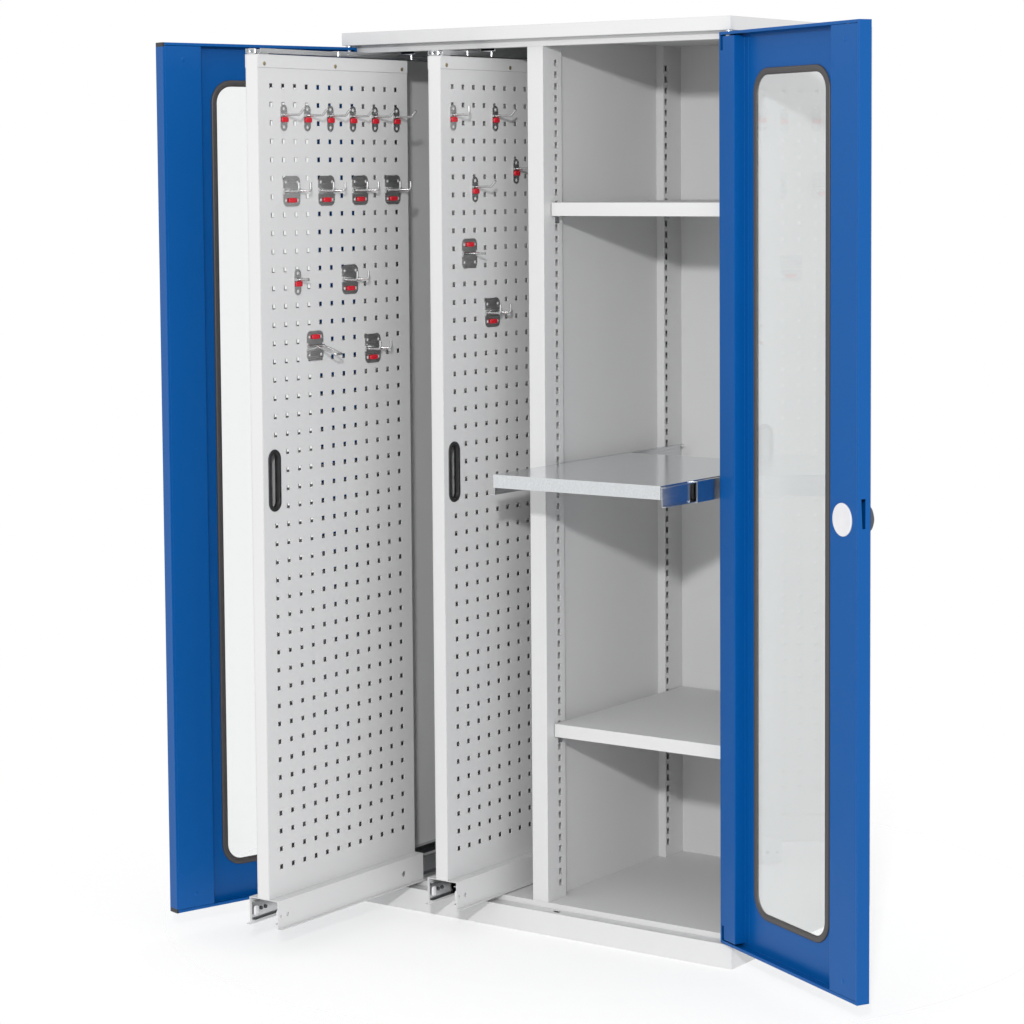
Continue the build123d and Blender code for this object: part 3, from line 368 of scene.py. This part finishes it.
def grip_ring(side):
    """Oval ring in the hand opening: a rounded lip carried round a stadium."""
    low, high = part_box(f"{side}_pullout_grip_ring")
    outline = rounded_outline(GRIP_WIDTH, GRIP_LENGTH, GRIP_WIDTH / 2 - 1e-5, 16)
    depth = high.x - low.x
    lip = rounded_section(GRIP_WALL, GRIP_LIP, GRIP_LIP_ROUNDNESS, 20)
    lip[:, 1] += depth - GRIP_LIP
    outer = GRIP_WALL - GRIP_SLEEVE_STEP
    inner = GRIP_SLEEVE_INNER
    top = depth - GRIP_LIP / 2
    sleeve = np.array(((outer, top), (outer, 0.0), (inner, 0.0), (inner, top)))
    parts = []
    for section in (lip, sleeve):
        grid = carried_profile(outline, section)
        centre = (low + high) / 2
        x = low.x + grid[..., 2]
        parts.append(np.stack((x, centre.y + grid[..., 0], centre.z + grid[..., 1]), axis=-1))
    vertices = np.concatenate([part.reshape(-1, 3) for part in parts])
    rows = parts[0].shape[0]
    faces = [
        grid_faces(rows, parts[0].shape[1], True, True),
        grid_faces(rows, parts[1].shape[1], True, True, parts[0].shape[0] * parts[0].shape[1]),
    ]
    ring = mesh_object(f"{side}_grip", vertices, np.concatenate(faces))
    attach(ring, f"{side}_pullout")
    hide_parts(f"{side}_pullout_grip_ring")
    return ring


def node_parts(node):
    """Lowest and highest corners of each separate solid of a CAD node, from its connected points.

    They come in the order of their places, so that every run gives the same mesh.
    """
    source = frame["nodes"][node].data
    work = bmesh.new()
    work.from_mesh(source)
    bmesh.ops.remove_doubles(work, verts=work.verts, dist=MERGE_DISTANCE)
    left = set(work.verts)
    boxes = []
    while left:
        todo = [left.pop()]
        island = []
        while todo:
            vertex = todo.pop()
            island.append(vertex.co.copy())
            for edge in vertex.link_edges:
                other = edge.other_vert(vertex)
                if other in left:
                    left.remove(other)
                    todo.append(other)
        points = np.array(island)
        boxes.append((points.min(0), points.max(0)))
    work.free()
    return sorted(boxes, key=lambda box: (*box[0], *box[1]))


def hook_clips(side):
    """Red clips with rounded faces, one over each plain block of the node."""
    grids = []
    for low, high in node_parts(f"{side}_pullout_hook_clips"):
        grids.append(pillow((low + high) / 2, (high - low) / 2, CLIP_ROUNDNESS))
    clips = surface(f"{side}_clips", grids, False, True)
    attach(clips, f"{side}_pullout")
    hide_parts(f"{side}_pullout_hook_clips")
    return clips


def screw_heads(name, places, along, radius, height):
    """Pan heads at places, each standing out along X by its sign.

    A head is the dome height * (1 - (r / radius)^4), dipped along two lines through its middle for the cross.
    """
    steps = 32
    share = np.array((1.0, 1.0, 0.96, 0.85, 0.65, 0.5, 0.42, 0.30, 0.18, 0.0))
    angle = np.linspace(0, 2 * math.pi, steps, endpoint=False)[:, None]
    lift = height * (1 - share[None, :] ** 4) * np.ones_like(angle)
    lift[:, 0] = 0.0
    lift[:, 1] = SCREW_RIM * height
    from_line = np.minimum(np.abs(np.sin(angle)), np.abs(np.cos(angle))) * share * radius
    cross = (from_line < CROSS_WIDTH * radius) & (share[None, :] < CROSS_REACH)
    lift -= np.where(cross, CROSS_DEPTH * height, 0.0)
    grids = []
    for place, sign in zip(places, along):
        out = place[0] + sign * lift
        across = place[1] + radius * share[None, :] * np.cos(angle)
        up = place[2] + radius * share[None, :] * np.sin(angle)
        grids.append(np.stack((out, across, up), axis=-1))
    return surface(name, grids, True, False)


def cap_screws(side):
    """Three screws in each flank of the channel over a panel."""
    low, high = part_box(f"{side}_pullout_cap")
    z = high.z - CAP_SHEET - CAP_SCREW_DROP
    rows = (low.y + CAP_SCREW_MARGIN, (low.y + high.y) / 2, high.y - CAP_SCREW_MARGIN)
    places = [(x, y, z) for x in (low.x, high.x) for y in rows]
    along = [-1] * 3 + [1] * 3
    screws = screw_heads(f"{side}_cap_screws", places, along, CAP_SCREW_RADIUS, CAP_SCREW_HEAD)
    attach(screws, f"{side}_pullout")
    return screws


def holed_plate(centre, width, height, thickness, hole, steps=64):
    """Plate facing -Y with a round hole: a section carried round from the circle out to the outline.

    The outline is the superellipse |x/a|^8 + |z/b|^8 = 1 at the same angles as the circle.
    """
    angle = np.linspace(0, 2 * math.pi, steps, endpoint=False)[:, None]
    reach = (np.abs(np.cos(angle) / (width / 2)) ** 8 + np.abs(np.sin(angle) / (height / 2)) ** 8) ** (-1 / 8)
    inner = np.full_like(reach, hole / 2)
    radius = np.concatenate((inner, reach, reach, inner), axis=1)
    depth = np.array((0.0, 0.0, thickness, thickness))[None, :] * np.ones_like(radius)
    x = centre[0] + radius * np.cos(angle)
    z = centre[2] + radius * np.sin(angle)
    return np.stack((x, centre[1] + depth, z), axis=-1)


def front_bracket(side):
    """Small holed plate at the front end of the slide over a panel."""
    low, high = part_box(f"{side}_pullout_cap")
    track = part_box(f"{side}_pullout_runners")[1]
    height = track.z - high.z
    centre = ((low.x + high.x) / 2, low.y, high.z + height / 2)
    plate = holed_plate(centre, BRACKET_WIDTH, height, BRACKET_SHEET, BRACKET_HOLE_SHARE * height)
    bracket = surface(f"{side}_front_bracket", [plate], True, True)
    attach(bracket, f"{side}_pullout")
    return bracket


def slide_ends(side):
    """White ball-cage ends at the front of the two lower slides of a panel."""
    low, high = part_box(f"{side}_pullout_carriage")
    middle = (low.x + high.x) / 2
    reach = CARRIAGE_HALF - SLIDE_DEPTH / 2
    grids = []
    for sign in (-1, 1):
        centre = (middle + sign * reach, low.y + CAGE_SETBACK, low.z + SLIDE_LIFT)
        grids.append(pillow(centre, CAGE_HALF_SIZES, CAGE_ROUNDNESS))
    ends = surface(f"{side}_slide_ends", grids, False, True)
    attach(ends, f"{side}_pullout")
    return ends


def tray_cages():
    """Dark ball cages at the front ends of the middle members that carry the sliding shelf."""
    grids = []
    for low, high in node_parts("shelf_slides_middle"):
        centre = ((low[0] + high[0]) / 2, low[1] + CAGE_SETBACK, (low[2] + high[2]) / 2)
        half_height = (high[2] - low[2]) / 2 - TRAY_CAGE_MARGIN
        half_sizes = (TRAY_CAGE_HALF_WIDTH, TRAY_CAGE_HALF_LENGTH, half_height)
        grids.append(pillow(centre, half_sizes, TRAY_CAGE_ROUNDNESS))
    cages = surface("tray_cages", grids, False, True)
    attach(cages, "shelf_mid_slides")
    return cages


def slide_screws(side):
    """Dark screw heads on the inner faces of the two lower slides of a panel."""
    low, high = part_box(f"{side}_pullout_carriage")
    middle = (low.x + high.x) / 2
    reach = CARRIAGE_HALF - SLIDE_SCREW_DEPTH
    rows = (low.y + SLIDE_SCREW_FIRST, low.y + SLIDE_SCREW_SECOND, high.y - SLIDE_SCREW_LAST)
    places = [(middle + sign * reach, y, low.z + SLIDE_LIFT) for sign in (-1, 1) for y in rows]
    along = [1] * 3 + [-1] * 3
    screws = screw_heads(f"{side}_slide_screws", places, along, SLIDE_SCREW_RADIUS, SLIDE_SCREW_HEAD)
    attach(screws, f"{side}_pullout")
    return screws


def door_rivets(side):
    """Flat rivet heads near both ends of the profile on a door's free side."""
    radius = np.array((0.0045, 0.0045, 0.0042, 0.0034, 0.0))
    depth = np.array((0.0, 0.0004, 0.0007, 0.0009, 0.0010))
    grids = []
    for height in (DOOR_BOTTOM + RIVET_MARGIN, DOOR_TOP - RIVET_MARGIN):
        grid = turned(np.stack((radius, depth), axis=-1), 32)
        across = HALF_WIDTH - RIVET_SETBACK + grid[..., 0]
        grids.append(door_places(side, across, height + grid[..., 1], DOOR_THICKNESS + grid[..., 2]))
    rivets = surface(f"{side}_door_rivets", grids, True, False)
    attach(rivets, f"{side}_door")
    return rivets


# Shader groups

def new_group(name, inputs, outputs):
    """Shader node group with named float, colour or vector sockets."""
    group = bpy.data.node_groups.new(name, "ShaderNodeTree")
    for label, kind, value in inputs:
        socket = group.interface.new_socket(label, in_out="INPUT", socket_type=kind)
        if value is not None:
            socket.default_value = value
    for label, kind in outputs:
        group.interface.new_socket(label, in_out="OUTPUT", socket_type=kind)
    enter = group.nodes.new("NodeGroupInput")
    leave = group.nodes.new("NodeGroupOutput")
    return group, enter, leave


def add(tree, kind, **values):
    """New node with its properties and sockets set by name."""
    node = tree.nodes.new(kind)
    for key, value in values.items():
        if hasattr(node, key):
            setattr(node, key, value)
        else:
            node.inputs[key.replace("_", " ")].default_value = value
    return node


def object_noise(tree, scale, detail=2.0, stretch=None):
    """Noise on object coordinates, in cells per metre, stretched by a mapping if given."""
    place = add(tree, "ShaderNodeTexCoord")
    noise = add(tree, "ShaderNodeTexNoise", Scale=scale, Detail=detail)
    source = place.outputs["Object"]
    if stretch is not None:
        mapping = add(tree, "ShaderNodeMapping")
        mapping.inputs["Scale"].default_value = stretch
        tree.links.new(source, mapping.inputs["Vector"])
        source = mapping.outputs["Vector"]
    tree.links.new(source, noise.inputs["Vector"])
    return noise


def remap(tree, source, low, high):
    """Map a 0 to 1 value to a range."""
    node = add(tree, "ShaderNodeMapRange")
    node.inputs["To Min"].default_value = low
    node.inputs["To Max"].default_value = high
    tree.links.new(source, node.inputs["Value"])
    return node.outputs["Result"]


def painted_fold_highlight(tree, bend, strength):
    """Painted highlight along the folds: up to strength where a surface turns an edge, from one minus the dot
    of the rounded and the flat normal.
    """
    flat = add(tree, "ShaderNodeNewGeometry")
    dot = add(tree, "ShaderNodeVectorMath", operation="DOT_PRODUCT")
    tree.links.new(bend.outputs["Normal"], dot.inputs[0])
    tree.links.new(flat.outputs["True Normal"], dot.inputs[1])
    mask = add(tree, "ShaderNodeMapRange", From_Min=1.0, From_Max=0.7, To_Min=0.0)
    tree.links.new(dot.outputs["Value"], mask.inputs["Value"])
    tree.links.new(strength, mask.inputs["To Max"])
    return mask.outputs["Result"]


def powder_coat_group():
    """Sprayed powder finish: orange-peel height, faint cloudiness in the colour and the gloss, and a painted
    highlight that lightens the colour along the folds.
    """
    group, enter, leave = new_group(
        "powder_coat",
        [
            ("Colour", "NodeSocketColor", None),
            ("Gloss", "NodeSocketFloat", 0.4),
            ("Peel", "NodeSocketFloat", 0.3),
            ("Painted fold highlight", "NodeSocketFloat", 0.1),
        ],
        [("Colour", "NodeSocketColor"), ("Roughness", "NodeSocketFloat"), ("Normal", "NodeSocketVector")],
    )
    peel = object_noise(group, 420.0, 2.0)
    cloud = object_noise(group, 6.0, 3.0)
    bend = add(group, "ShaderNodeBevel", samples=4, Radius=BEND_RADIUS)
    bump = add(group, "ShaderNodeBump", Distance=0.00012)
    group.links.new(bend.outputs["Normal"], bump.inputs["Normal"])
    group.links.new(enter.outputs["Peel"], bump.inputs["Strength"])
    group.links.new(peel.outputs["Fac"], bump.inputs["Height"])
    value = add(group, "ShaderNodeMath", operation="ADD")
    group.links.new(remap(group, cloud.outputs["Fac"], 0.975, 1.025), value.inputs[0])
    # painted highlight: the colour is lightened where the surface turns a fold
    group.links.new(painted_fold_highlight(group, bend, enter.outputs["Painted fold highlight"]), value.inputs[1])
    tint = add(group, "ShaderNodeHueSaturation")
    group.links.new(value.outputs["Value"], tint.inputs["Value"])
    group.links.new(enter.outputs["Colour"], tint.inputs["Color"])
    rough = add(group, "ShaderNodeMath", operation="ADD")
    group.links.new(enter.outputs["Gloss"], rough.inputs[0])
    group.links.new(remap(group, cloud.outputs["Fac"], -0.05, 0.05), rough.inputs[1])
    group.links.new(tint.outputs["Color"], leave.inputs["Colour"])
    group.links.new(rough.outputs["Value"], leave.inputs["Roughness"])
    group.links.new(bump.outputs["Normal"], leave.inputs["Normal"])
    return group


def painted_upright_shade(tree, strength):
    """Painted shade: one on level faces and one plus strength on upright ones, so that a negative strength
    makes the upright faces of the zinc darker than the level ones.
    """
    flat = add(tree, "ShaderNodeNewGeometry")
    parts = add(tree, "ShaderNodeSeparateXYZ")
    tree.links.new(flat.outputs["True Normal"], parts.inputs["Vector"])
    level = add(tree, "ShaderNodeMath", operation="ABSOLUTE")
    tree.links.new(parts.outputs["Z"], level.inputs[0])
    less = add(tree, "ShaderNodeMath", operation="SUBTRACT")
    less.inputs[0].default_value = 1.0
    tree.links.new(level.outputs["Value"], less.inputs[1])
    painted_shade_factor = add(tree, "ShaderNodeMath", operation="MULTIPLY_ADD")
    tree.links.new(less.outputs["Value"], painted_shade_factor.inputs[0])
    tree.links.new(strength, painted_shade_factor.inputs[1])
    painted_shade_factor.inputs[2].default_value = 1.0
    return painted_shade_factor.outputs["Value"]


def rolled_steel_group():
    """Zinc-coated sheet: streaks along the rolling direction, the soft cells of the spangle, and a painted
    shade on upright faces.
    """
    group, enter, leave = new_group(
        "rolled_steel",
        [
            ("Colour", "NodeSocketColor", None),
            ("Gloss", "NodeSocketFloat", 0.3),
            ("Spangle", "NodeSocketFloat", 0.3),
            ("Painted upright shade", "NodeSocketFloat", 0.0),
        ],
        [("Colour", "NodeSocketColor"), ("Roughness", "NodeSocketFloat"), ("Normal", "NodeSocketVector")],
    )
    streak = object_noise(group, 260.0, 3.0, (1.0, 0.03, 1.0))
    place = add(group, "ShaderNodeTexCoord")
    cells = add(group, "ShaderNodeTexVoronoi", Scale=70.0)
    group.links.new(place.outputs["Object"], cells.inputs["Vector"])
    shade = add(group, "ShaderNodeSeparateColor")
    group.links.new(cells.outputs["Color"], shade.inputs["Color"])
    spangle = add(group, "ShaderNodeMath", operation="MULTIPLY")
    group.links.new(remap(group, shade.outputs["Red"], -0.5, 0.5), spangle.inputs[0])
    group.links.new(enter.outputs["Spangle"], spangle.inputs[1])
    value = add(group, "ShaderNodeMath", operation="ADD")
    group.links.new(spangle.outputs["Value"], value.inputs[0])
    group.links.new(remap(group, streak.outputs["Fac"], 0.88, 1.10), value.inputs[1])
    shaded = add(group, "ShaderNodeMath", operation="MULTIPLY")
    group.links.new(value.outputs["Value"], shaded.inputs[0])
    # painted shade: upright faces are darkened against level ones
    group.links.new(painted_upright_shade(group, enter.outputs["Painted upright shade"]), shaded.inputs[1])
    tint = add(group, "ShaderNodeHueSaturation")
    group.links.new(enter.outputs["Colour"], tint.inputs["Color"])
    group.links.new(shaded.outputs["Value"], tint.inputs["Value"])
    rough = add(group, "ShaderNodeMath", operation="ADD")
    group.links.new(enter.outputs["Gloss"], rough.inputs[0])
    group.links.new(remap(group, streak.outputs["Fac"], -0.08, 0.12), rough.inputs[1])
    bump = add(group, "ShaderNodeBump", Strength=0.15, Distance=0.00005)
    group.links.new(streak.outputs["Fac"], bump.inputs["Height"])
    group.links.new(tint.outputs["Color"], leave.inputs["Colour"])
    group.links.new(rough.outputs["Value"], leave.inputs["Roughness"])
    group.links.new(bump.outputs["Normal"], leave.inputs["Normal"])
    return group


def moulded_group():
    """Moulded plastic or rubber: a fine spark-eroded grain and slight gloss changes."""
    group, enter, leave = new_group(
        "moulded",
        [
            ("Colour", "NodeSocketColor", None),
            ("Gloss", "NodeSocketFloat", 0.4),
            ("Grain", "NodeSocketFloat", 0.3),
        ],
        [("Colour", "NodeSocketColor"), ("Roughness", "NodeSocketFloat"), ("Normal", "NodeSocketVector")],
    )
    grain = object_noise(group, 1500.0, 1.0)
    handling = object_noise(group, 40.0, 3.0)
    bump = add(group, "ShaderNodeBump", Distance=0.00006)
    group.links.new(enter.outputs["Grain"], bump.inputs["Strength"])
    group.links.new(grain.outputs["Fac"], bump.inputs["Height"])
    tint = add(group, "ShaderNodeHueSaturation")
    group.links.new(enter.outputs["Colour"], tint.inputs["Color"])
    group.links.new(remap(group, handling.outputs["Fac"], 0.93, 1.07), tint.inputs["Value"])
    rough = add(group, "ShaderNodeMath", operation="ADD")
    group.links.new(enter.outputs["Gloss"], rough.inputs[0])
    group.links.new(remap(group, handling.outputs["Fac"], -0.06, 0.06), rough.inputs[1])
    group.links.new(tint.outputs["Color"], leave.inputs["Colour"])
    group.links.new(rough.outputs["Value"], leave.inputs["Roughness"])
    group.links.new(bump.outputs["Normal"], leave.inputs["Normal"])
    return group


GROUPS = {
    "powder": powder_coat_group(),
    "rolled": rolled_steel_group(),
    "moulded": moulded_group(),
}


def finish_material(name, group, colour, gloss, texture, metallic=0.0, specular=0.5, painted_light=0.0):
    """Material whose colour, roughness and normal come from one of the finish groups.

    texture is the peel, spangle or grain of its group. The last number is a painted highlight on the folds of
    a powder coat, and a painted shade on the upright faces of rolled steel.
    """
    material = bpy.data.materials.new(name)
    material.use_nodes = True
    tree = material.node_tree
    shader = tree.nodes["Principled BSDF"]
    finish = tree.nodes.new("ShaderNodeGroup")
    finish.node_tree = GROUPS[group]
    finish.inputs[0].default_value = (*colour, 1.0)
    finish.inputs[1].default_value = gloss
    finish.inputs[2].default_value = texture
    if group != "moulded":
        finish.inputs[3].default_value = painted_light
    tree.links.new(finish.outputs["Colour"], shader.inputs["Base Color"])
    tree.links.new(finish.outputs["Roughness"], shader.inputs["Roughness"])
    tree.links.new(finish.outputs["Normal"], shader.inputs["Normal"])
    shader.inputs["Metallic"].default_value = metallic
    shader.inputs["Specular IOR Level"].default_value = specular
    return material


def pane_material():
    """Clear acrylic: light passes it, and shadow rays pass it too so that it casts hardly any shadow."""
    material = bpy.data.materials.new("clear_acrylic")
    material.use_nodes = True
    tree = material.node_tree
    shader = tree.nodes["Principled BSDF"]
    shader.inputs["Base Color"].default_value = (0.93, 0.945, 0.94, 1.0)
    shader.inputs["Transmission Weight"].default_value = 1.0
    shader.inputs["IOR"].default_value = 1.49
    smear = object_noise(tree, 5.0, 3.0)
    tree.links.new(remap(tree, smear.outputs["Fac"], 0.0, 0.03), shader.inputs["Roughness"])
    clear = tree.nodes.new("ShaderNodeBsdfTransparent")
    clear.inputs["Color"].default_value = (0.9, 0.92, 0.92, 1.0)
    ray = tree.nodes.new("ShaderNodeLightPath")
    mix = tree.nodes.new("ShaderNodeMixShader")
    tree.links.new(ray.outputs["Is Shadow Ray"], mix.inputs["Fac"])
    tree.links.new(shader.outputs["BSDF"], mix.inputs[1])
    tree.links.new(clear.outputs["BSDF"], mix.inputs[2])
    tree.links.new(mix.outputs["Shader"], tree.nodes["Material Output"].inputs["Surface"])
    return material


# The last number of each powder coat is a painted highlight on its folds, strong on the doors; the negative
# one of the galvanised steel is a painted shade on its upright faces.
MATERIALS = {
    "body_grey": finish_material(
        "light_grey_powder", "powder", (0.61, 0.61, 0.61), gloss=0.45, texture=0.25, painted_light=0.10
    ),
    "door_blue": finish_material(
        "deep_blue_powder", "powder", (0.0, 0.076, 0.285), gloss=0.32, texture=0.12, specular=0.2, painted_light=0.75
    ),
    "zinc_steel": finish_material(
        "zinc_steel", "rolled", (0.60, 0.61, 0.62), gloss=0.22, texture=0.03, metallic=1.0
    ),
    "galvanised_steel": finish_material(
        "galvanised_steel", "rolled", (0.76, 0.785, 0.80), gloss=0.16, texture=0.03, metallic=1.0, painted_light=-0.12
    ),
    "hook_steel": finish_material(
        "hook_steel", "rolled", (0.58, 0.58, 0.58), gloss=0.24, texture=0.0, metallic=1.0
    ),
    "yellow_zinc": finish_material(
        "yellow_zinc", "rolled", (0.33, 0.28, 0.16), gloss=0.34, texture=0.0, metallic=0.9
    ),
    "black_plastic": finish_material(
        "black_plastic", "moulded", (0.012, 0.012, 0.013), gloss=0.42, texture=0.3
    ),
    "red_plastic": finish_material("red_plastic", "moulded", (0.56, 0.012, 0.025), gloss=0.25, texture=0.1),
    "white_plastic": finish_material("white_plastic", "moulded", (0.66, 0.66, 0.68), gloss=0.40, texture=0.1),
    "knob_plastic": finish_material("knob_plastic", "moulded", (0.06, 0.065, 0.075), gloss=0.38, texture=0.3),
    "seal_rubber": finish_material("seal_rubber", "moulded", (0.055, 0.05, 0.049), gloss=0.45, texture=0.5),
    "clear_pane": pane_material(),
}


def wear(piece, slot):
    """Give a piece the material of a slot."""
    piece.data.materials.clear()
    piece.data.materials.append(MATERIALS[slot])


def dress_nodes():
    """Each CAD node takes the finish of its slot in the record."""
    for entry in frame["record"]["subparts"]:
        node = frame["nodes"][entry["node"]]
        wear(node, entry["material_slot"])


# Room

def floor_material():
    """Matte white that fades out with the distance from the cabinet, so that no horizon shows."""
    material = bpy.data.materials.new("pale_floor")
    material.use_nodes = True
    tree = material.node_tree
    shader = tree.nodes["Principled BSDF"]
    shader.inputs["Base Color"].default_value = (*FLOOR_WHITE, 1.0)
    shader.inputs["Roughness"].default_value = 0.8
    shader.inputs["Specular IOR Level"].default_value = 0.0
    place = add(tree, "ShaderNodeTexCoord")
    distance = add(tree, "ShaderNodeVectorMath", operation="LENGTH")
    tree.links.new(place.outputs["Object"], distance.inputs[0])
    fade = add(tree, "ShaderNodeMapRange", From_Min=FLOOR_FULL, From_Max=FLOOR_GONE, To_Min=FLOOR_CLEAR)
    tree.links.new(distance.outputs["Value"], fade.inputs["Value"])
    clear = tree.nodes.new("ShaderNodeBsdfTransparent")
    mix = tree.nodes.new("ShaderNodeMixShader")
    tree.links.new(fade.outputs["Result"], mix.inputs["Fac"])
    tree.links.new(shader.outputs["BSDF"], mix.inputs[1])
    tree.links.new(clear.outputs["BSDF"], mix.inputs[2])
    tree.links.new(mix.outputs["Shader"], tree.nodes["Material Output"].inputs["Surface"])
    return material


def floor():
    """Pale floor under and round the cabinet."""
    signs = np.array(((-1, -1, 0), (1, -1, 0), (1, 1, 0), (-1, 1, 0)), float)
    corners = FLOOR_GONE * signs
    plane = mesh_object("floor", corners, np.array((0, 1, 2, 3)), False)
    plane.data.materials.append(floor_material())


def area_light(name, place, aim, size, watts):
    """Square soft light at a place, aimed at a point."""
    data = bpy.data.lights.new(name, "AREA")
    data.size = size
    data.energy = watts
    lamp = bpy.data.objects.new(name, data)
    lamp.location = place
    lamp.rotation_euler = (Vector(aim) - Vector(place)).to_track_quat("-Z", "Y").to_euler()
    bpy.context.scene.collection.objects.link(lamp)


def surroundings():
    """Evenly white room all round."""
    world = bpy.data.worlds.new("white_room")
    bpy.context.scene.world = world
    world.use_nodes = True
    room = world.node_tree.nodes["Background"]
    room.inputs["Color"].default_value = (*ROOM_WHITE, 1.0)
    room.inputs["Strength"].default_value = ROOM_STRENGTH


def camera():
    """Camera whose axis meets the picture above the middle, so the lens is shifted."""
    yaw, pitch, roll = (math.radians(a) for a in (CAMERA_YAW, CAMERA_PITCH, CAMERA_ROLL))
    ahead = Vector((math.sin(yaw) * math.cos(pitch), math.cos(yaw) * math.cos(pitch), math.sin(pitch)))
    level = Vector((math.cos(yaw), -math.sin(yaw), 0.0))
    above = level.cross(ahead)
    right = math.cos(roll) * level + math.sin(roll) * above
    up = -math.sin(roll) * level + math.cos(roll) * above
    turn = Matrix((right, up, -ahead)).transposed()
    data = bpy.data.cameras.new("camera")
    data.sensor_width = SENSOR_WIDTH
    data.lens = FOCAL_PIXELS * SENSOR_WIDTH / PICTURE_SIZE
    data.shift_y = (AXIS_ROW - PICTURE_SIZE / 2) / PICTURE_SIZE
    data.clip_end = 200.0
    made = bpy.data.objects.new("camera", data)
    made.matrix_world = Matrix.Translation(Vector(CAMERA_PLACE)) @ turn.to_4x4()
    bpy.context.scene.collection.objects.link(made)
    bpy.context.scene.camera = made


camera()
surroundings()
floor()
area_light("key_light", KEY_PLACE, KEY_AIM, KEY_SIZE, KEY_WATTS)
bpy.context.scene.view_settings.view_transform = "Standard"

dress_nodes()
for side in ("left", "right"):
    wear(window_seal(side), "seal_rubber")
    wear(grip_ring(side), "black_plastic")
    wear(hook_clips(side), "red_plastic")
    wear(cap_screws(side), "yellow_zinc")
    wear(front_bracket(side), "zinc_steel")
    wear(door_rivets(side), "door_blue")
    wear(slide_ends(side), "white_plastic")
    wear(slide_screws(side), "knob_plastic")
wear(tray_cages(), "black_plastic")
wear(lock_cover(), "white_plastic")
turning_knob()

bpy.context.view_layer.update()
